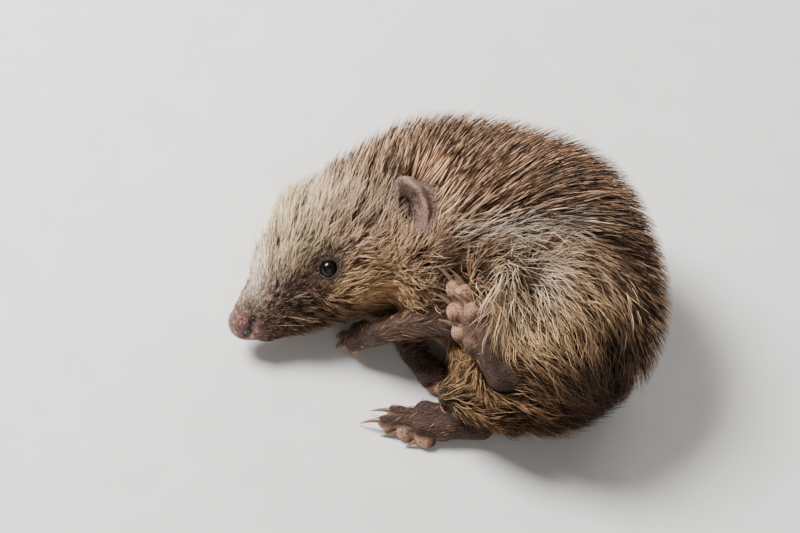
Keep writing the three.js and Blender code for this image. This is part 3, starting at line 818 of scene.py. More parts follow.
MARKINGS = {
    "blaze": Marking((255, 242, 224), (234, 208, 186), 0.05,
                     *both_sides(14, 6.7, 5.5, 3.6), *both_sides(19.5, 9.7, 6.5, 3.8)),
    "bridge": Marking((196, 168, 150), (88, 67, 57), 0.45,
                      *both_sides(22, 4, 8, 4.5), (HEAD.at(12, 10, 0), 4),
                      *both_sides(11, 2.5, 5, 3)),
    "mask": Marking((140, 112, 98), (56, 41, 36), 0.55,
                    *both_sides(23, -3, 9.5, 5.5), *both_sides(30, -5, 13, 6),
                    *both_sides(34, 1.5, 14, 4.5)),
    "eye patch": Marking((138, 112, 100), (64, 48, 42), 0.5, *both_sides(39.5, -2.3, 15, 5.5)),
    "brow": Marking((255, 234, 196), (78, 54, 42), 0.33,
                    *both_sides(32, 14, 7, 9), *both_sides(44, 17, 9, 11),
                    *both_sides(24, 11, 5, 6)),
    "temple": Marking((232, 202, 176), (84, 62, 52), 0.43,
                      *both_sides(50, 4, 18, 9), *both_sides(60, 0, 22, 8)),
    "cheek": Marking((232, 192, 144), (100, 70, 50), 0.42,
                     *both_sides(47, -9, 15, 9), *both_sides(56, -12, 17, 9),
                     *both_sides(38, -11, 12, 6)),
    "chin": Marking((176, 142, 114), (74, 54, 44), 0.48,
                    *both_sides(18, -11, 5, 6), *both_sides(30, -15, 6, 8)),
    "crown": Marking((250, 216, 178), (40, 27, 22), 0.58,
                     *both_sides(60, 19, 8, 15), *both_sides(66, 8, 20, 9)),
    "neck": Marking((238, 200, 164), (74, 52, 40), 0.42,
                    (vec(3.3, 0, 16), 8), (vec(13, 9, 20), 9)),
    "ear tuft": Marking((244, 228, 212), (150, 126, 112), 0.2, *both_sides(71, 7, 26, 4)),
    "stripe": Marking((244, 228, 208), (110, 86, 70), 0.34,
                      (vec(16.3, 1.2, 22), 3), (vec(24.4, 0.4, 26), 3.2),
                      (vec(32.6, 0.9, 28), 3.4), (vec(40.7, 2.5, 29), 3.4),
                      (vec(48.9, 4.9, 29), 3)),
    "fold": Marking((150, 122, 96), (46, 33, 27), 0.6,
                    (vec(14, -5, 17), 5), (vec(25, -6.3, 25), 3.6), (vec(34.2, -5.9, 28), 3.4)),
    "whorl": Marking((248, 234, 214), (138, 112, 92), 0.22, (WHORL, 4.6)),
    "thigh": Marking((236, 196, 148), (50, 34, 26), 0.47,
                     (vec(29, -24, 26), 8), (vec(42, -27, 27), 8), (vec(50, -20, 26), 7)),
    # the haunch and rump: dark hair, made darker still as painted shade low in the curl
    "haunch": Marking((160, 122, 90), (32, 21, 17), 0.7,
                      (vec(48, -43, 18), 10), (vec(40, -50, 8), 10)),
    "rump": Marking((84, 60, 47), (20, 13, 10), 0.86,
                    (vec(64, -40, 8), 16), (vec(52, -54, 0), 14)),
    "belly": Marking((170, 134, 94), (50, 36, 27), 0.55,
                     (vec(22, -34, 4), 13), (vec(30, -46, -10), 14), (vec(20, -26, -10), 10)),
}
MANTLE_COAT = Marking((236, 188, 148), (40, 27, 22), 0.6)
PLAIN_COAT = Marking((210, 174, 138), (70, 50, 39), 0.45)
PLAIN_WEIGHT = 0.12  # how much the coat without a marking counts beside the markings

UNDER_HIDE = paint(96, 74, 64)
BARE_HIDE = paint(76, 55, 47)
EAR_HIDE = paint(122, 97, 84)
EAR_HOLE_SHADE = paint(36, 26, 24)
EAR_RIM = paint(160, 130, 116)
NOSE_HIDE = paint(112, 72, 60)
PAD_HIDE = paint(164, 122, 98)
FOOT_HIDE = paint(62, 41, 32)
LIDS = paint(46, 31, 26)
# the lid margin, made paler by a painted highlight of its wetness
LID_RIM_HIGHLIGHT = paint(128, 96, 80)
TEAR_CORNER = paint(40, 26, 24)
MOUTH_LINE_SHADOW = paint(84, 62, 58)
NOSTRIL_FLESH_AND_SHADE = paint(30, 11, 10)
LEG_HAIR = paint(126, 96, 78)
EAR_HAIR = paint(176, 150, 134)
WHISKER_HAIR = paint(226, 204, 176)


def coat_colours(points):
    """Pale and dark hair colours and the share of dark hairs, at each place."""
    in_mantle = quilled(points)
    pale = mix(PLAIN_COAT.pale, MANTLE_COAT.pale, in_mantle[:, None]) * PLAIN_WEIGHT
    dark = mix(PLAIN_COAT.dark, MANTLE_COAT.dark, in_mantle[:, None]) * PLAIN_WEIGHT
    share = mix(PLAIN_COAT.share, MANTLE_COAT.share, in_mantle) * PLAIN_WEIGHT
    total = np.full(len(points), PLAIN_WEIGHT)
    for marking in MARKINGS.values():
        w = marking.weight(points) * (1 - 0.9 * in_mantle)
        pale, dark = pale + w[:, None] * marking.pale, dark + w[:, None] * marking.dark
        share, total = share + w * marking.share, total + w
    return pale / total[:, None], dark / total[:, None], share / total


def hide_colour(points, zone):
    """The skin's colour: dimmed by painted shade where the coat covers it, with its markings, and
    its own where it is bare.
    """
    pale, dark, share = coat_colours(points)
    # painted shade: the marked skin is dimmed to about half where the coat covers it
    hide_with_painted_coat_shade = mix(pale, dark, 0.55 + 0.4 * share[:, None]) * 0.55
    hide_with_painted_coat_shade = mix(hide_with_painted_coat_shade, UNDER_HIDE, 0.25)
    foot = mix(FOOT_HIDE, PAD_HIDE, (toe_pads(points) * sole_side(points))[:, None])
    colour = hide_with_painted_coat_shade * (zone["trunk"] + zone["thigh"] + zone["tail"])[:, None]
    for hide, part in ((BARE_HIDE, "leg"), (foot, "foot"), (EAR_HIDE, "ear")):
        colour = colour + hide * zone[part][:, None]
    h = halves(points)
    colour = mix(colour, NOSE_HIDE, nose_pad(points)[:, None])
    ring, outside, along = eye_ring(h)
    lids = (ease(3.4, 1.2, outside) * (along > 0))[:, None]
    colour = mix(colour, LIDS, lids)
    # a paler lid margin, brightened by a painted highlight of its wetness
    colour = mix(colour, LID_RIM_HIGHLIGHT, swell(ring, 0.24, 0.45)[:, None])
    colour = mix(colour, TEAR_CORNER, swell(line_far(h, *TEAR), 0.5, 0.9)[:, None])
    # painted shadow along the line of the mouth
    colour = mix(colour, MOUTH_LINE_SHADOW, swell(line_far(h, *MOUTH), 0.6, 0.6)[:, None])
    # the nostril's dark red-brown flesh, with painted shade deep in it: the walls of the nostril
    # are dark too, so its line is taken at several depths
    nostril = np.min([line_far(h + n * vec(-0.5, -0.4, 1.2), *NOSTRIL) for n in range(-1, 4)], 0)
    colour = mix(colour, NOSTRIL_FLESH_AND_SHADE, np.minimum(swell(nostril, 1.05, 1.6), 1)[:, None])
    for place in EAR_FRAMES:
        # painted shade: the ear's deep opening is darkened nearly to black
        opening = egg(place, (3.0 * to_front(place), -2.0, -1.5), (2.3, 4.4, 5.0))(points)
        colour = mix(colour, EAR_HOLE_SHADE, 0.95 * ease(0.9, -0.3, opening)[:, None])
        rim = (far(points, place.origin) < 12) * ease(-1.0, 0.4, place.of(points)[:, 1])
        colour = mix(colour, EAR_RIM, 0.5 * rim[:, None] * zone["ear"][:, None])
    return colour


def toe_pads(points):
    """1 on the balls of the toes and soles."""
    best = np.zeros(len(points))
    for foot in FEET:
        for (_, tip), (root_share, _, _) in zip(foot.toes, TOES):
            for ball, reach, pale in ((tip, 0.2, 1.0), (foot.spot(*root_share, 0.13), 0.18, 0.24)):
                away = far(points, ball) / (reach * foot.width + 0.8)
                best = np.maximum(best, pale * ease(1.4, 0.8, away))
    return best


# ---- material nodes -----------------------------------------------------------------------------
class Nodes:
    """Adds nodes to one tree and joins them up."""

    def __init__(self, tree):
        self.tree = tree
        tree.nodes.clear()

    def add(self, kind, inputs=None, out=0, **settings):
        node = self.tree.nodes.new(kind)
        for name, value in settings.items():
            setattr(node, name, value)
        for socket, value in (inputs or {}).items():
            self.put(node.inputs[socket], value)
        return node.outputs[out] if out is not None and len(node.outputs) else node

    def put(self, socket, value):
        if isinstance(value, bpy.types.NodeSocket):
            self.tree.links.new(value, socket)
        else:
            socket.default_value = value

    def attribute(self, name, out="Fac"):
        return self.add("ShaderNodeAttribute", out=out, attribute_name=name)

    def math(self, operation, *values):
        return self.add("ShaderNodeMath", dict(enumerate(values)), operation=operation)

    def blend(self, factor, a, b, mode="MIX"):
        inputs = {0: factor, 6: a, 7: b}
        return self.add("ShaderNodeMix", inputs, out=2, data_type="RGBA", blend_type=mode)

    def shaded(self, colour, shade):
        grey = self.add("ShaderNodeCombineColor", {0: shade, 1: shade, 2: shade})
        return self.blend(1.0, colour, grey, "MULTIPLY")

    def level(self, value, low, high, to_low=0.0, to_high=1.0, **settings):
        inputs = {0: value, 1: low, 2: high, 3: to_low, 4: to_high}
        return self.add("ShaderNodeMapRange", inputs, **settings)

    def noise(self, place, scale, detail=3.0, rough=0.55, out=0):
        inputs = {"Vector": place, "Scale": scale, "Detail": detail, "Roughness": rough}
        return self.add("ShaderNodeTexNoise", inputs, out=out)

    def place(self, stretch=(1, 1, 1)):
        spot = self.add("ShaderNodeTexCoord", out="Object")
        return self.add("ShaderNodeMapping", {"Vector": spot, "Scale": stretch})

    def bump(self, strength, distance, height):
        inputs = {"Strength": strength, "Distance": distance, "Height": height}
        return self.add("ShaderNodeBump", inputs)

    def group(self, tree, inputs):
        """Another tree placed in this one, with its inputs set by name."""
        node = self.add("ShaderNodeGroup", out=None, node_tree=tree)
        for label, value in inputs.items():
            self.put(node.inputs[label], value)
        return node.outputs


def shader_group(name, sockets_in, sockets_out):
    """An empty node group, with what its named inputs give and what its outputs ask for."""
    tree = bpy.data.node_groups.new(name, "ShaderNodeTree")
    for way, sockets in (("INPUT", sockets_in), ("OUTPUT", sockets_out)):
        for label, kind, *value in sockets:
            socket = tree.interface.new_socket(label, in_out=way, socket_type="NodeSocket" + kind)
            if value:
                socket.default_value = value[0]
    nodes = Nodes(tree)
    given, made = (nodes.add(kind, out=None) for kind in ("NodeGroupInput", "NodeGroupOutput"))
    return nodes, given.outputs, made.inputs


def fibre_group():
    """Colour and height along one hair or quill: dimmed by painted shade towards its root, flecked,
    no two the same.
    """
    nodes, given, made = shader_group(
        "fibre",
        [("Tint", "Color"), ("Along", "Float"), ("Strand", "Float"),
         ("Root shade", "Float", 0.35), ("Root length", "Float", 0.5), ("Fleck", "Float", 0.25)],
        [("Color", "Color"), ("Height", "Float")],
    )
    # painted shade: each fibre is darker towards its root, where the rest of the coat would shade
    # it
    depth = nodes.level(given["Along"], 0.0, given["Root length"], given["Root shade"], 1.0,
                        interpolation_type="SMOOTHSTEP")
    fleck = nodes.noise(nodes.place((900, 900, 900)), 1.0, 2.0)
    fleck = nodes.level(fleck, 0.3, 0.7, -1.0, 1.0)
    fleck = nodes.math("MULTIPLY", fleck, given["Fleck"])
    own = nodes.level(given["Strand"], 0, 1, 0.7, 1.3)
    shade = nodes.math("MULTIPLY", depth, nodes.math("ADD", own, fleck))
    nodes.put(made["Color"], nodes.shaded(given["Tint"], shade))
    nodes.put(made["Height"], fleck)
    return nodes.tree


def hide_group():
    """Pebbled hide: small raised cells with creases between them, painted shade in the creases, and
    uneven colour.
    """
    nodes, given, made = shader_group(
        "hide",
        [("Tint", "Color"), ("Cells per metre", "Float", 1200.0), ("Crease", "Float", 0.5),
         ("Mottle", "Float", 0.3), ("Patches per metre", "Float", 260.0)],
        [("Color", "Color"), ("Height", "Float")],
    )
    spot = nodes.place()
    warp = nodes.noise(spot, 500.0, 2.0, out="Color")
    warp = nodes.add("ShaderNodeVectorMath", {0: warp, 3: 0.0012}, operation="SCALE")
    spot = nodes.add("ShaderNodeVectorMath", {0: spot, 1: warp})
    cells = nodes.add("ShaderNodeTexVoronoi", {"Vector": spot, "Scale": given["Cells per metre"]})
    pebble = nodes.level(cells, 0.1, 0.75, 1.0, 0.0)
    creases = nodes.level(pebble, 0.0, 0.35, 1.0, 0.0)
    # painted shade: the hide is darkened in the creases between the cells
    painted_crease_shade = nodes.math("SUBTRACT", 1.0, nodes.math("MULTIPLY", creases, given["Crease"]))
    patch = nodes.noise(spot, given["Patches per metre"], 4.0, 0.6)
    patch = nodes.math("MULTIPLY", nodes.level(patch, 0.3, 0.7, -1.0, 1.0), given["Mottle"])
    nodes.put(made["Color"], nodes.shaded(given["Tint"], nodes.math("ADD", painted_crease_shade, patch)))
    nodes.put(made["Height"], nodes.math("ADD", pebble, nodes.noise(spot, 2600.0, 3.0)))
    return nodes.tree


FIBRE = fibre_group()
HIDE = hide_group()


def new_material(name):
    material = bpy.data.materials.new(name)
    material.use_nodes = True
    return material, Nodes(material.node_tree)


def finish_material(nodes, inputs):
    shader = nodes.add("ShaderNodeBsdfPrincipled", inputs)
    nodes.add("ShaderNodeOutputMaterial", {"Surface": shader})


def fibre_material(name, root_shade, root_length, fleck, roughness, banded=False):
    material, nodes = new_material(name)
    tint = nodes.attribute("tint", "Color")
    along = nodes.attribute("along")
    strand = nodes.attribute("strand")
    if banded:
        tint = quill_bands(nodes, tint, along, strand)
    fibre = nodes.group(FIBRE, {
        "Tint": tint, "Along": along, "Strand": strand,
        "Root shade": root_shade, "Root length": root_length, "Fleck": fleck,
    })
    bump = nodes.bump(0.15, 0.0001, fibre["Height"])
    finish_material(nodes, {
        "Base Color": fibre["Color"], "Roughness": roughness, "Normal": bump,
        "Specular IOR Level": 0.14,
    })
    return material


def quill_bands(nodes, tint, along, strand):
    """A quill's bands: pale root and tip, and a dark band whose place differs a little."""
    start = nodes.level(strand, 0, 1, 0.1, 0.74)
    width = nodes.level(strand, 0, 1, 0.82, 0.12)
    rise = nodes.math("DIVIDE", nodes.math("SUBTRACT", along, start), 0.09)
    end = nodes.math("ADD", start, width)
    fall = nodes.math("DIVIDE", nodes.math("SUBTRACT", end, along), 0.07)
    band = nodes.math("MINIMUM", rise, fall)
    band = nodes.level(band, 0.0, 1.0, 0.0, 0.93)
    return nodes.blend(band, tint, (0.03, 0.017, 0.012, 1))


def skin_material():
    material, nodes = new_material("bare_hide")
    wet, bare = nodes.attribute("wet"), nodes.attribute("bare")
    hide = nodes.group(HIDE, {
        "Tint": nodes.attribute("tint", "Color"),
        "Cells per metre": nodes.level(wet, 0, 1, 1500.0, 2300.0),
        "Crease": 0.58,
        "Mottle": nodes.level(wet, 0, 1, 0.42, 0.6),
        "Patches per metre": nodes.level(wet, 0, 1, 260.0, 480.0),
    })
    # painted highlights: pale flecks on the wet nose stand in for its gloss
    painted_gloss_flecks = nodes.level(nodes.noise(nodes.place(), 620.0, 3.0), 0.52, 0.66)
    painted_gloss_flecks = nodes.math("MULTIPLY", nodes.math("MULTIPLY", painted_gloss_flecks, wet), 0.55)
    colour = nodes.blend(painted_gloss_flecks, hide["Color"], (0.44, 0.31, 0.27, 1))
    hairs = nodes.noise(nodes.place((700, 2600, 2600)), 1.0, 3.0)
    bump = nodes.bump(0.75, 0.00025, nodes.blend(bare, hairs, hide["Height"]))
    rough = nodes.level(wet, 0, 1, 0.66, 0.36)
    finish_material(nodes, {
        "Base Color": colour, "Roughness": rough, "Normal": bump,
        "Coat Weight": nodes.math("MULTIPLY", wet, 0.3), "Coat Roughness": 0.2,
        "Specular IOR Level": 0.3,
        "Subsurface Weight": 0.08, "Subsurface Radius": (0.003, 0.0012, 0.0008),
    })
    return material


def eye_material():
    material, nodes = new_material("dark_eye")
    facing = nodes.add("ShaderNodeLayerWeight", {"Blend": 0.35}, out="Facing")
    cloud = nodes.noise(nodes.place((700, 700, 700)), 1.0, 4.0)
    clouded = nodes.level(cloud, 0.35, 0.7)
    deep = nodes.blend(clouded, (0.003, 0.0022, 0.002, 1), (0.006, 0.004, 0.003, 1))
    colour = nodes.blend(nodes.level(facing, 0.5, 1.0), deep, (0.014, 0.01, 0.008, 1))
    bump = nodes.bump(0.04, 0.0001, cloud)
    finish_material(nodes, {
        "Base Color": colour, "Roughness": 0.16, "Normal": bump,
        "Specular IOR Level": 0.18, "Coat Weight": 0.5, "Coat Roughness": 0.04, "Coat IOR": 1.33,
    })
    return material


def claw_material():
    material, nodes = new_material("claw_horn")
    along = nodes.attribute("along")
    streaks = nodes.noise(nodes.place((1500, 1500, 1500)), 1.0, 4.0)
    to_tip = nodes.level(along, 0.1, 0.9)
    horn = nodes.blend(to_tip, (0.1, 0.06, 0.038, 1), (0.29, 0.18, 0.09, 1))
    horn = nodes.blend(nodes.level(streaks, 0.35, 0.7, 0.0, 0.45), horn, (0.14, 0.07, 0.035, 1))
    finish_material(nodes, {
        "Base Color": horn, "Roughness": 0.34, "Normal": nodes.bump(0.25, 0.0001, streaks),
        "Subsurface Weight": 0.1, "Subsurface Radius": (0.002, 0.001, 0.0006),
    })
    return material


def floor_material():
    material, nodes = new_material("pale_floor")
    grain = nodes.noise(nodes.place((60, 60, 60)), 1.0, 5.0)
    grain = nodes.level(grain, 0.3, 0.7)
    colour = nodes.blend(grain, (0.72, 0.705, 0.68, 1), (0.77, 0.755, 0.73, 1))
    finish_material(nodes, {"Base Color": colour, "Roughness": 0.85})
    return material


# ---- pieces --------------------------------------------------------------------------------------
def new_piece(mesh, slot, replaced=(), material=None):
    piece = bpy.data.objects.new(mesh.name, mesh)
    bpy.context.scene.collection.objects.link(piece)
    if material:
        mesh.materials.clear()
        mesh.materials.append(material)
    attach(piece, "root")
    if replaced:
        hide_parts(*replaced)
    return piece


def store(mesh, name, values, kind="FLOAT"):
    field = {"FLOAT": "value", "FLOAT_COLOR": "color", "FLOAT_VECTOR": "vector"}[kind]
    layer = mesh.attributes.new(name, kind, "POINT")
    if kind == "FLOAT_COLOR":
        values = np.concatenate([values, np.ones((len(values), 1))], 1)
    layer.data.foreach_set(field, values.astype(np.float32).ravel())


def smooth_shaded(mesh):
    mesh.polygons.foreach_set("use_smooth", np.ones(len(mesh.polygons), bool))


def unwrapped(piece):
    """Gives the skin its own unwrap, which the coat's roots are looked up on."""
    bpy.context.view_layer.objects.active = piece
    piece.select_set(True)
    bpy.ops.object.mode_set(mode="EDIT")
    bpy.ops.mesh.select_all(action="SELECT")
    bpy.ops.uv.smart_project(angle_limit=math.radians(70), island_margin=0.003)
    bpy.ops.object.mode_set(mode="OBJECT")
    piece.select_set(False)
    piece.data.uv_layers.active.name = "OFBake"


FLESH = [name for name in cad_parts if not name.startswith(("eye", "claw"))]


class Roots:
    """The skin's triangles, with what it takes to plant hairs on them."""

    def __init__(self, mesh, places):
        mesh.calc_loop_triangles()
        n = len(mesh.loop_triangles)
        corners, loops = np.empty(n * 3, np.int32), np.empty(n * 3, np.int32)
        mesh.loop_triangles.foreach_get("vertices", corners)
        mesh.loop_triangles.foreach_get("loops", loops)
        self.corners, self.loops = corners.reshape(-1, 3), loops.reshape(-1, 3)
        uv = np.empty(len(mesh.loops) * 2, np.float32)
        mesh.uv_layers["OFBake"].data.foreach_get("uv", uv)
        self.uv, self.places = uv.reshape(-1, 2).astype(float), places
        a, b, c = (places[self.corners[:, k]] for k in range(3))
        across = np.cross(b - a, c - a)
        self.area = np.linalg.norm(across, axis=1) / 2
        self.middle = (a + b + c) / 3

    def planted(self, rng, weight, count):
        """Places and unwrap places of roots, as dense as the weight on each triangle asks."""
        share = weight * self.area
        chosen = rng.choice(len(share), count, p=share / share.sum())
        r = np.sqrt(rng.random((count, 1)))
        s = rng.random((count, 1))
        shares = np.concatenate([1 - r, r * (1 - s), r * s], 1)[:, :, None]
        spots = (self.places[self.corners[chosen]] * shares).sum(1)
        return spots, (self.uv[self.loops[chosen]] * shares).sum(1)


def spaced(spots, gap):
    """Which of the spots to keep, so that no two are nearer than the gap."""
    limit = gap**2
    grid, kept = {}, []
    keys = np.floor(spots / gap).astype(int)
    near_cells = [(i, j, k) for i in (-1, 0, 1) for j in (-1, 0, 1) for k in (-1, 0, 1)]
    points = spots.tolist()
    for n, (i, j, k) in enumerate(keys.tolist()):
        x, y, z = points[n]
        if all(
            (x - a) ** 2 + (y - b) ** 2 + (z - c) ** 2 > limit
            for di, dj, dk in near_cells
            for a, b, c in grid.get((i + di, j + dj, k + dk), ())
        ):
            grid.setdefault((i, j, k), []).append((x, y, z))
            kept.append(n)
    return np.array(kept)


PATCH = 0.003  # width of a hair's patch on the unwrap


# ---- quills --------------------------------------------------------------------------------------
def quill_tree(material):
    """Quills on points: a round shaft that tapers to both ends, laid along each point's aim."""
    tree = bpy.data.node_groups.new("quills_on_roots", "GeometryNodeTree")
    face = tree.interface
    face.new_socket("Geometry", in_out="INPUT", socket_type="NodeSocketGeometry")
    face.new_socket("Geometry", in_out="OUTPUT", socket_type="NodeSocketGeometry")
    for label, kind, value in (
        ("Sides", "Int", 5), ("Rings", "Int", 6), ("Tip share", "Float", 0.06),
        ("Root share", "Float", 0.55), ("Patch", "Float", PATCH),
    ):
        socket = face.new_socket(label, in_out="INPUT", socket_type="NodeSocket" + kind)
        socket.default_value = value
    nodes = Nodes(tree)
    given = nodes.add("NodeGroupInput", out=None).outputs

    def stored(geometry, name, value, kind="FLOAT", domain="POINT"):
        inputs = {"Geometry": geometry, "Name": name, "Value": value}
        return nodes.add("GeometryNodeStoreNamedAttribute", inputs, data_type=kind, domain=domain)

    def named(name, kind="FLOAT"):
        return nodes.add("GeometryNodeInputNamedAttribute", {"Name": name}, data_type=kind)

    along = nodes.add("GeometryNodeSplineParameter")
    profile = nodes.add("GeometryNodeCurvePrimitiveCircle", {
        "Resolution": given["Sides"], "Radius": 1.0,
    })
    profile = stored(profile, "round", along)
    shaft = nodes.add("GeometryNodeCurvePrimitiveLine", {"Start": (0, 0, 0), "End": (0, 0, 1)})
    shaft = nodes.add("GeometryNodeResampleCurve", {"Curve": shaft, "Count": given["Rings"]})
    shaft = stored(shaft, "along", along)
    # the shaft is widest a third of the way up
    to_tip = nodes.level(along, 0.35, 1.0, 1.0, given["Tip share"], interpolation_type="SMOOTHSTEP")
    to_root = nodes.level(along, 0.0, 0.3, given["Root share"], 1.0)
    quill = nodes.add("GeometryNodeCurveToMesh", {
        "Curve": shaft, "Profile Curve": profile, "Fill Caps": True,
        "Scale": nodes.math("MULTIPLY", to_tip, to_root),
    })

    aim = named("aim", "FLOAT_VECTOR")
    turn = nodes.add("FunctionNodeAlignRotationToVector", {"Vector": aim}, axis="Z")
    thick = named("girth")
    size = nodes.add("ShaderNodeCombineXYZ", {0: thick, 1: thick, 2: named("reach")})
    coat = nodes.add("GeometryNodeInstanceOnPoints", {
        "Points": given["Geometry"], "Instance": quill, "Rotation": turn, "Scale": size,
    })
    coat = nodes.add("GeometryNodeRealizeInstances", {"Geometry": coat})
    # each quill's patch on the skin's unwrap, slanted so that its ends have some width
    angle = nodes.math("MULTIPLY", named("round"), math.tau)
    patch_x = nodes.math("MULTIPLY_ADD", named("along"), 0.8, -0.4)
    patch_x = nodes.math("MULTIPLY_ADD", nodes.math("COSINE", angle), 0.08, patch_x)
    patch_y = nodes.math("MULTIPLY", nodes.math("SINE", angle), 0.5)
    patch = nodes.add("ShaderNodeCombineXYZ", {0: patch_x, 1: patch_y})
    patch = nodes.add("ShaderNodeVectorMath", {0: patch, "Scale": given["Patch"]},
                      operation="SCALE")
    patch = nodes.add("ShaderNodeVectorMath", {0: named("root_uv", "FLOAT_VECTOR"), 1: patch})
    coat = stored(coat, "OFBake", patch, "FLOAT2", "CORNER")
    coat = nodes.add("GeometryNodeSetShadeSmooth", {"Geometry": coat})
    coat = nodes.add("GeometryNodeSetMaterial", {"Geometry": coat, "Material": material})
    nodes.add("NodeGroupOutput", {"Geometry": coat})
    return tree


def made_by_tree(name, roots, tree, settings):
    """The plain mesh that a tree makes of a mesh of roots."""
    maker = bpy.data.objects.new(name + "_roots", roots)
    bpy.context.scene.collection.objects.link(maker)
    modifier = maker.modifiers.new("quills", "NODES")
    modifier.node_group = tree
    for item in tree.interface.items_tree:
        if item.item_type == "SOCKET" and item.in_out == "INPUT" and item.name in settings:
            modifier[item.identifier] = settings[item.name]
    evaluated = maker.evaluated_get(bpy.context.evaluated_depsgraph_get())
    mesh = bpy.data.meshes.new_from_object(evaluated)
    mesh.name = name
    maker.modifiers.remove(modifier)
    bpy.data.objects.remove(maker)
    for spare in ("aim", "girth", "reach", "root_uv", "round"):
        if spare in mesh.attributes:
            mesh.attributes.remove(mesh.attributes[spare])
    return mesh


SKIN_CLEAR = 0.1  # the least height of the skin over the floor
FLOOR_CLEAR = 0.35  # and of anything that grows on it
HIGHEST = 79.5  # no hair stands higher over the floor


def over_floor(points, least):
    """The points, raised where they are less than that high over the floor."""
    low = np.clip(least - height_over_floor(points), 0, None)
    return points + low[..., None] * TURN[2]


def laid(ways, out):
    """The ways, laid along the surface that faces out."""
    return unit(ways - (ways * out).sum(1, keepdims=True) * out)


def swung(along, out, angle):
    """The ways along a surface, turned sideways on it."""
    return along * np.cos(angle)[:, None] + np.cross(out, along) * np.sin(angle)[:, None]


def raised(flat, out, angle):
    return flat * np.cos(angle)[:, None] + out * np.sin(angle)[:, None]


def coat_at(points):
    """Outward directions, and the lie of the coat along the surface."""
    out = unit(slope_of(coarse_flesh, points)[1])
    return out, laid(lie(points), out)


QUILL_SLANT, QUILL_SWING = 30, 8  # degrees off the skin, and to either side


def aimed(spots, lengths, rng):
    """Unit directions of quills, laid back over the body, off the floor and in the coat's depth."""
    out, along = coat_at(spots)
    slant = np.radians(QUILL_SLANT + 6 * rng.standard_normal(len(spots)))
    swing = np.radians(QUILL_SWING * rng.standard_normal(len(spots)))
    aim = raised(swung(along, out, swing), out, slant)
    for _ in range(3):
        for share, least, most in ((0.5, 1.5, 8.0), (1.0, 3.5, 12.0)):
            tip = spots + aim * (lengths * share)[:, None]
            d = coarse_flesh(tip)
            move = np.clip(least - d, 0, None) - np.clip(d - most, 0, None)
            aim = unit(aim + out * (move / (lengths * share))[:, None])
        low = FLOOR_CLEAR + 0.5 - height_over_floor(spots + aim * lengths[:, None])
        aim = unit(aim + TURN[2] * (np.clip(low, 0, None) / lengths)[:, None])
    return aim


QUILL_SEED = 7
QUILL_TRIES = 40000  # roots planted before those too near to another are dropped
QUILL_GAP = 1.08  # the least distance between two roots
QUILL_LENGTH = 21.0  # on the back
QUILL_GIRTH = 0.31  # half the thickness, on the back
QUILL_DEPTH = 1.2  # how deep the root is set
QUILL_SHAPE = {"Sides": 4, "Rings": 5, "Tip share": 0.05, "Patch": PATCH}
PAST_NAPE = -2.6  # angles round the curl below this one belong to the nape too
# the quills of each piece lie between two angles round the curl
QUILL_PIECES = {
    "quills_nape": (1.28, 4),
    "quills_back": (0.7, 1.28),
    "quills_rump": (PAST_NAPE, 0.7),
}


def add_quills(roots, material):
    rng = np.random.default_rng(QUILL_SEED)
    weight = quilled(roots.middle)
    zone = zones(roots.middle)
    weight = np.where(weight > 0.25, weight, 0) * (zone["trunk"] > 0.5)
    weight = weight * (height_over_floor(roots.middle) > 2.6)
    spots, uv = roots.planted(rng, weight, QUILL_TRIES)
    keep = spaced(spots, QUILL_GAP)
    spots, uv = spots[keep], uv[keep]
    count = len(spots)
    lengths = QUILL_LENGTH * mix(0.72, 1, ease(0.2, 0.8, mantle(spots)))
    lengths *= 1 + 0.09 * rng.standard_normal(count)
    back = HEAD.of(spots)[:, 0]
    lengths *= mix(0.62, 1, ease(46, 90, back))
    girth = QUILL_GIRTH * mix(0.78, 1, ease(50, 80, back))
    aim = aimed(spots, lengths, rng)
    pale, _, _ = coat_colours(spots)
    angle = angle_round_curl(spots)
    past_nape = angle < PAST_NAPE
    # some are pale nearly all along, some banded, and some dark but for the tip, more to the rump,
    # where painted shade dims them all
    rump_darkness_and_shade = ease(1.9, -0.6, np.where(past_nape, angle + math.tau, angle))
    kind = rng.random(count)
    pale_share, dark_share = mix(0.24, 0.06, rump_darkness_and_shade), mix(0.34, 0.7, rump_darkness_and_shade)
    strand = 0.35 + 0.4 * rng.random(count)
    strand = np.where(kind < pale_share, 0.84 + 0.16 * rng.random(count), strand)
    strand = np.where(kind > 1 - dark_share, 0.22 * rng.random(count), strand)
    # painted shade: the quills' tint is dimmed towards the rump
    tint = pale * (0.5 + 0.55 * rng.random((count, 1))) * mix(1, 0.6, rump_darkness_and_shade)[:, None]
    tree = quill_tree(material)
    for name, (low, high) in QUILL_PIECES.items():
        own = (angle >= low) & (angle < high)
        if name == "quills_nape":
            own |= past_nape
        points = mesh_from(name + "_roots", in_world(spots[own] - aim[own] * QUILL_DEPTH), [])
        store(points, "aim", aim[own] @ TURN.T, "FLOAT_VECTOR")
        store(points, "girth", (girth[own] + 0.03 * rng.standard_normal(own.sum())) * MM)
        store(points, "reach", (lengths[own] + QUILL_DEPTH) * MM)
        flat_uv = np.concatenate([uv[own], np.zeros((own.sum(), 1))], 1)
        store(points, "root_uv", flat_uv, "FLOAT_VECTOR")
        store(points, "tint", tint[own], "FLOAT_COLOR")
        store(points, "strand", strand[own])
        new_piece(made_by_tree(name, points, tree, QUILL_SHAPE), "quills")


# ---- fur -----------------------------------------------------------------------------------------
HAIR_DEPTH = 0.35  # how deep a hair's root is set


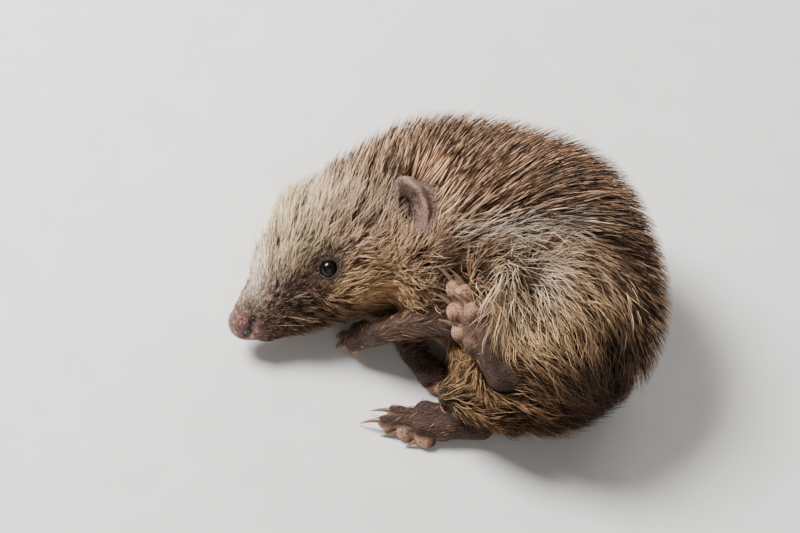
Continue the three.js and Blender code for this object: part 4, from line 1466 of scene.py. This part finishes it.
def grown(spots, lengths, slant, swing, depth, segments):
    """The nodes of each hair, stepped out from its root and laid along the body."""
    out, along = coat_at(spots)
    way = raised(swung(along, out, swing), out, slant)
    nodes = [spots - out * HAIR_DEPTH]
    step = (lengths / segments)[:, None]
    for n in range(segments):
        tip = nodes[-1] + way * step
        d, grad = slope_of(coarse_flesh, tip)
        out = unit(grad)
        share = (n + 1) / segments
        least = np.minimum(0.25 + 0.2 * lengths * share * 0.15, 0.8 * depth)
        move = np.clip(least - d, 0, None) - np.clip(d - depth * (0.35 + 0.75 * share), 0, None)
        tip = tip + out * move[:, None]
        tip = over_floor(tip, FLOOR_CLEAR)
        tip = tip - np.clip(height_over_floor(tip) - HIGHEST, 0, None)[:, None] * TURN[2]
        way = unit(tip - nodes[-1])
        nodes.append(tip)
        # the hair bends a little more to the lie with each step, and keeps its own swing
        turned = swung(laid(unit(lie(tip)), out), out, swing)
        rising = np.sin(slant * (1 - 0.6 * share))[:, None]
        way = unit(way * 0.55 + turned * 0.45 + out * rising * 0.35)
    return np.stack(nodes, 1)


def strand_mesh(name, nodes, radii, uv, tint, strand):
    """Three-sided tapered hairs as one mesh, each with its patch on the skin's unwrap."""
    count, rows, _ = nodes.shape
    run = unit(np.gradient(nodes, axis=1))
    level = unit(np.cross(run, unit(nodes[:, :1] * 0 + vec(0.31, 0.52, 0.79))))
    third = np.cross(run, level)
    turns = np.arange(3) * math.tau / 3
    shares = np.linspace(0, 1, rows)
    bulge = 0.75 + 0.5 * np.sin(np.pi * shares[:-1])
    widths = radii[:, None] * (1 - shares**1.6)[None, :-1] * bulge[None]
    around = level[:, :-1, None] * np.cos(turns)[:, None]
    around = around + third[:, :-1, None] * np.sin(turns)[:, None]
    rings = nodes[:, :-1, None] + around * widths[..., None, None]
    vertices = np.concatenate([rings.reshape(count, -1, 3), nodes[:, -1:]], 1)
    per = vertices.shape[1]

    # one hair's faces, and its corners' places on the patch as (along, around)
    faces, spots = [(0, 2, 1)], [(-0.12, 0.5), (0.0, 0.9), (0.0, 0.1)]
    for row in range(rows - 2):
        for k in range(3):
            a, b = row * 3 + k, row * 3 + (k + 1) % 3
            near, later = shares[row], shares[row + 1]
            faces += [(a, b, b + 3), (a, b + 3, a + 3)]
            spots += [(near, k / 3), (near, (k + 1) / 3), (later, (k + 1) / 3)]
            spots += [(near, k / 3), (later, (k + 1) / 3), (later, k / 3)]
    last = (rows - 2) * 3
    for k in range(3):
        faces.append((last + k, last + (k + 1) % 3, per - 1))
        spots += [(shares[-2], k / 3), (shares[-2], (k + 1) / 3), (1.0, (k + 0.5) / 3)]
    faces, spots = np.array(faces), np.array(spots)

    corners = (faces.ravel()[None] + np.arange(count)[:, None] * per).ravel()
    mesh = bpy.data.meshes.new(name)
    mesh.vertices.add(count * per)
    mesh.vertices.foreach_set("co", in_world(vertices.reshape(-1, 3)).astype(np.float32).ravel())
    mesh.loops.add(len(corners))
    mesh.loops.foreach_set("vertex_index", corners.astype(np.int32))
    mesh.polygons.add(len(corners) // 3)
    mesh.polygons.foreach_set("loop_start", np.arange(0, len(corners), 3, dtype=np.int32))
    mesh.update(calc_edges=True)
    smooth_shaded(mesh)
    layer = mesh.uv_layers.new(name="OFBake")
    places = uv[:, None] + (spots[None] - 0.5) * PATCH * 0.9
    layer.data.foreach_set("uv", places.astype(np.float32).ravel())
    along = np.concatenate([np.repeat(shares[:-1], 3), [1.0]])
    store(mesh, "along", np.tile(along, count))
    store(mesh, "tint", np.repeat(tint, per, axis=0), "FLOAT_COLOR")
    store(mesh, "strand", np.repeat(strand, per))
    return mesh


HAIR_SEED = 11
HAIR_COUNT = 84000
MOST_HAIRS = 12000  # in one piece, where they have three steps each
SHORT_HAIR = 4.2  # in a piece whose middle length is less than this, they have two
THIN, THICK = 0.06, 0.125  # radii of short and long hairs
GUARD_SHARE, GUARD_GIRTH = 0.14, 1.45  # thick pale guard hairs: how many, how much thicker
FACE_PIECES = ("fur_mask", "fur_muzzle", "fur_brow", "fur_ears")


def hair_region(points, zone):
    """The name of the piece that each hair belongs to."""
    back, up, _ = HEAD.of(points).T
    names = np.full(len(points), "fur_neck_and_back", dtype=object)
    names[back < 78] = "fur_crown"
    names[(back < 80) & (up < 0)] = "fur_flank"
    names[(back < 72) & (up < 0) & (up > -24)] = "fur_cheeks"
    names[back < 50] = "fur_brow"
    names[(back < 44) & (up < 4)] = "fur_mask"
    names[back < 23] = "fur_muzzle"
    low = (angle_round_curl(points) < 0.3) | (mantle(points) < 0.3)
    names[(back >= 78) & low] = "fur_belly"
    names[zone["thigh"] > 0.4] = "fur_thighs"
    names[zone["tail"] > 0.4] = "fur_belly"
    names[(zone["leg"] > 0.4) | (zone["foot"] > 0.4)] = "fur_legs"
    names[zone["ear"] > 0.5] = "fur_ears"
    return names


TUFT = 9  # hairs in one tuft, on average


def tufts_of(spots):
    """The number of the tuft that each hair belongs to: the hairs nearest to one of every few."""
    tree = KDTree(math.ceil(len(spots) / TUFT))
    for n, spot in enumerate(spots[::TUFT].tolist()):
        tree.insert(spot, n)
    tree.balance()
    return np.array([tree.find(spot)[1] for spot in spots.tolist()])


def add_fur(roots, material, face_material):
    rng = np.random.default_rng(HAIR_SEED)
    weight = hair_density(roots.middle, zones(roots.middle))
    wanted = int((weight * roots.area).sum())
    spots, uv = roots.planted(rng, weight, min(HAIR_COUNT, wanted))
    zone = zones(spots)
    count = len(spots)
    spread = 0.24 + 0.05 * zone["thigh"]
    spread = np.clip(1 + spread * rng.standard_normal(count), 0.4, 1.45)
    lengths = hair_length(spots, zone) * spread
    tuft = tufts_of(spots)
    tufts = tuft.max() + 1

    def lots(share):
        """A random number for each hair, the same one for that share of each tuft."""
        return np.where(rng.random(count) < share, rng.random(tufts)[tuft], rng.random(count))

    rank = lots(0.45)  # from the hairs that lie lowest to the longest guard hairs
    stand = coat_depth(spots, zone) * (0.3 + 0.95 * rank)
    lengths *= 0.85 + 0.3 * rank
    slant = np.arcsin(np.clip(1.25 * stand / lengths, 0.08, 0.8))
    long_hair = ease(4, 14, lengths)
    wild = mix(9, 15, long_hair) + 12 * zone["thigh"]
    at_whorl = swell(far(spots, WHORL_SIDE), 5.5)
    sway = mix(0.7, 1.0, at_whorl) * rng.standard_normal(count)
    sway = sway + mix(0.8, 0.2, at_whorl) * rng.standard_normal(tufts)[tuft]
    swing = np.radians((wild + 26 * at_whorl) * sway)
    slant = slant + 0.35 * at_whorl * rng.random(count)
    pale, dark, share = coat_colours(spots)
    # the hairs that lie lowest are mostly dark, and the guard hairs pale
    share = np.clip(share + mix(0.35, 0.8, long_hair) * (0.5 - rank), 0.05, 0.95)
    is_dark = lots(0.6) < share
    tint = np.where(is_dark[:, None], dark, pale)
    tint = tint * (0.55 + 0.68 * lots(0.5)[:, None])
    body_hair = (zone["trunk"] + zone["thigh"] + zone["tail"])[:, None]
    short_hair = mix(LEG_HAIR, EAR_HAIR, zone["ear"][:, None])
    tint = mix(short_hair * (0.55 + 0.7 * rng.random((count, 1))), tint, body_hair)
    radii = mix(THIN, THICK, ease(1.5, 12, lengths)) * (0.75 + 0.5 * rng.random(count))
    guard = (rng.random(count) < GUARD_SHARE) & ~is_dark & (lengths > 2.5)
    radii = np.where(guard, radii * GUARD_GIRTH, radii) * mix(1, 0.72, at_whorl)
    tint = np.where(guard[:, None], pale * 1.06, tint)
    strand = rng.random(count)
    most = stand * mix(1.3, 0.95, zone["thigh"])
    names = hair_region(spots, zone)
    for name in sorted(set(names)):
        own = np.flatnonzero(names == name)
        slot, look = ("face", face_material) if name in FACE_PIECES else ("fur", material)
        steps = 2 if np.median(lengths[own]) < SHORT_HAIR else 3
        parts = math.ceil(len(own) / (MOST_HAIRS if steps == 3 else 1.55 * MOST_HAIRS))
        for part, some in enumerate(np.array_split(own, parts)):
            nodes = grown(spots[some], lengths[some], slant[some], swing[some], most[some], steps)
            label = name if parts == 1 else f"{name}_{part + 1}"
            mesh = strand_mesh(label, nodes, radii[some], uv[some], tint[some], strand[some])
            new_piece(mesh, slot, material=look)


# ---- eyes, claws ---------------------------------------------------------------------------------
def turned_surface(path, radii, sides):
    """A round closed body along a path of places, with a radius at each."""
    run = unit(np.gradient(path, axis=0))
    level = unit(np.cross(run, unit(vec(0.3, 0.5, 0.8))))
    third = np.cross(run, level)
    turns = np.arange(sides) * math.tau / sides
    around = level[:, None] * np.cos(turns)[:, None] + third[:, None] * np.sin(turns)[:, None]
    rings = path[:, None] + around * radii[:, None, None]
    vertices = np.concatenate([path[:1], rings.reshape(-1, 3), path[-1:]])

    def at(row, k):
        return 1 + row * sides + k % sides

    faces = [(0, at(0, k + 1), at(0, k)) for k in range(sides)]
    last = len(path) - 1
    for row in range(last):
        for k in range(sides):
            faces.append((at(row, k), at(row, k + 1), at(row + 1, k + 1), at(row + 1, k)))
    faces += [(at(last, k), at(last, k + 1), len(vertices) - 1) for k in range(sides)]
    return vertices, faces


def add_eyes(material):
    for name, side in zip(("left", "right"), SIDES):
        bm = bmesh.new()
        bmesh.ops.create_uvsphere(bm, u_segments=48, v_segments=28, radius=1)
        mesh = bpy.data.meshes.new("eyeball_" + name)
        bm.to_mesh(mesh)
        bm.free()
        ball = coordinates(mesh)
        front = ease(0.62, 0.95, ball[:, 2])
        ball = ball * (EYE_RADIUS + EYE_BULGE * front)[:, None]
        axis = unit(HEAD.along(EYE_AXIS[0], EYE_AXIS[1], side * EYE_AXIS[2]))
        level = unit(np.cross(HEAD.axes[1], axis))
        axes = np.array([level, np.cross(axis, level), axis])
        set_coordinates(mesh, in_world(ball @ axes + eye_middle(side)))
        smooth_shaded(mesh)
        new_piece(mesh, "eye", ["eye_" + name], material)


CLAW_ROWS, CLAW_SIDES = 10, 10
CLAW_BEND = 0.42
INNER_CLAW = 0.8  # length of the inner claw beside the others


def add_claws(material):
    for leg, (_, _, foot) in LEGS.items():
        sole = foot.frame.axes[2]
        vertices, faces, alongs, replaced = [], [], [], []
        for n, (root, tip) in enumerate(foot.toes):
            length = (8.5 if leg.startswith("hind") else 6.5) * (INNER_CLAW if n == 0 else 1)
            ahead = unit(tip - root)
            down = unit(sole - ahead * (sole @ ahead))
            t = np.linspace(0, 1, CLAW_ROWS)
            path = tip - down * 0.5 + ahead * (length * t)[:, None]
            path = path + down * (CLAW_BEND * length * t * t)[:, None]
            radii = 0.95 * (1 - t**1.4) * 0.92 + 0.06
            path = over_floor(path, radii + FLOOR_CLEAR)
            body, around = turned_surface(path, radii, CLAW_SIDES)
            start = sum(len(v) for v in vertices)
            vertices.append(body)
            faces += [tuple(start + k for k in face) for face in around]
            alongs.append(np.concatenate([[0], np.repeat(t, CLAW_SIDES), [1]]))
            replaced.append(f"claw_{leg}_{n + 1}")
        mesh = mesh_from("claws_" + leg, in_world(np.concatenate(vertices)), faces)
        store(mesh, "along", np.concatenate(alongs))
        smooth_shaded(mesh)
        new_piece(mesh, "claw", replaced, material)


WHISKER_SEED, WHISKER_COUNT = 5, 84


def add_whiskers(roots, material):
    """Long fine hairs from the sides of the muzzle and the jaw."""
    rng = np.random.default_rng(WHISKER_SEED)
    h = halves(roots.middle)
    muzzle = np.exp(-(((h[:, 0] - 19) / 6) ** 2) - ((h[:, 1] + 5) / 3) ** 2)
    jaw = swell(far(h, vec(50, -15, 14)), 8)
    weight = (muzzle + 0.8 * jaw) * (1 - nose_pad(roots.middle))
    spots, uv = roots.planted(rng, weight, WHISKER_COUNT)
    lengths = 8 + 8 * rng.random((len(spots), 1))
    out, along = coat_at(spots)
    way = along + 0.35 * out - 0.3 * HEAD.along(0, 1, 0) + 0.22 * rng.standard_normal(spots.shape)
    sag = HEAD.along(0.5, -0.6, 0) * lengths * 0.3
    t = np.linspace(0, 1, 7)[None, :, None]
    nodes = (spots - out * 0.3)[:, None] + (unit(way) * lengths)[:, None] * t + sag[:, None] * t * t
    nodes = over_floor(nodes, FLOOR_CLEAR)
    tint = WHISKER_HAIR * (0.7 + 0.5 * rng.random((len(spots), 1)))
    radii = 0.045 + 0.02 * rng.random(len(spots))
    mesh = strand_mesh("whiskers", nodes, radii, uv, tint, rng.random(len(spots)))
    new_piece(mesh, "face", material=material)


# ---- putting it together -------------------------------------------------------------------
def add_skin(material):
    mesh = skin_mesh()
    places = over_floor(coordinates(mesh), SKIN_CLEAR)
    zone = zones(places)
    set_coordinates(mesh, in_world(places))
    smooth_shaded(mesh)
    store(mesh, "tint", hide_colour(places, zone), "FLOAT_COLOR")
    store(mesh, "wet", nose_pad(places))
    bare = nose_pad(places) + zone["foot"] + zone["leg"] + zone["ear"]
    store(mesh, "bare", np.clip(bare + ease(6, 4, eye_far(places)), 0, 1))
    skin = new_piece(mesh, "skin", FLESH, material)
    unwrapped(skin)
    return Roots(mesh, places)


def add_floor(material):
    bpy.ops.mesh.primitive_plane_add(size=6, location=(0, 0, 0))
    floor = bpy.context.object
    floor.name = "floor"
    floor.data.materials.append(material)


def aim_at(thing, target):
    thing.rotation_euler = (Vector(target) - thing.location).to_track_quat("-Z", "Y").to_euler()


def add_lights():
    """A big soft light over the head, a wide fill from the front, and a rim from behind."""
    middle = Vector((0, 0, 0.03))
    for name, place, size, power in (
        ("sky", (-0.5, 0.3, 0.8), 0.4, 25),
        ("front_fill", (-0.1, -0.95, 0.55), 0.9, 2.4),
        ("back_rim", (0.45, 0.75, 0.5), 0.6, 4),
    ):
        data = bpy.data.lights.new(name, "AREA")
        data.size, data.energy = size, power
        light = bpy.data.objects.new(name, data)
        light.location = place
        bpy.context.scene.collection.objects.link(light)
        aim_at(light, middle)
    world = bpy.data.worlds.new("studio")
    bpy.context.scene.world = world
    world.use_nodes = True
    backdrop = world.node_tree.nodes["Background"].inputs
    backdrop["Color"].default_value = (1, 0.985, 0.965, 1)
    backdrop["Strength"].default_value = 0.23


ELEVATION = math.radians(55)
DISTANCE = 0.63


def add_camera():
    data = bpy.data.cameras.new("camera")
    data.lens, data.sensor_width = 85, 36
    data.clip_start = 0.01
    camera = bpy.data.objects.new("camera", data)
    target = Vector(SHIFT * MM)
    camera.location = target + DISTANCE * Vector((0, -math.cos(ELEVATION), math.sin(ELEVATION)))
    bpy.context.scene.collection.objects.link(camera)
    aim_at(camera, target)
    bpy.context.scene.camera = camera


add_camera()
add_lights()
add_floor(floor_material())
skin_roots = add_skin(skin_material())
add_eyes(eye_material())
add_claws(claw_material())
add_quills(skin_roots, fibre_material("quill_horn", 0.4, 0.35, 0.18, 0.36, banded=True))
hair = fibre_material("hair", 0.18, 0.6, 0.2, 0.48)
face_hair = fibre_material("face_hair", 0.42, 0.45, 0.2, 0.48)
add_fur(skin_roots, hair, face_hair)
add_whiskers(skin_roots, face_hair)
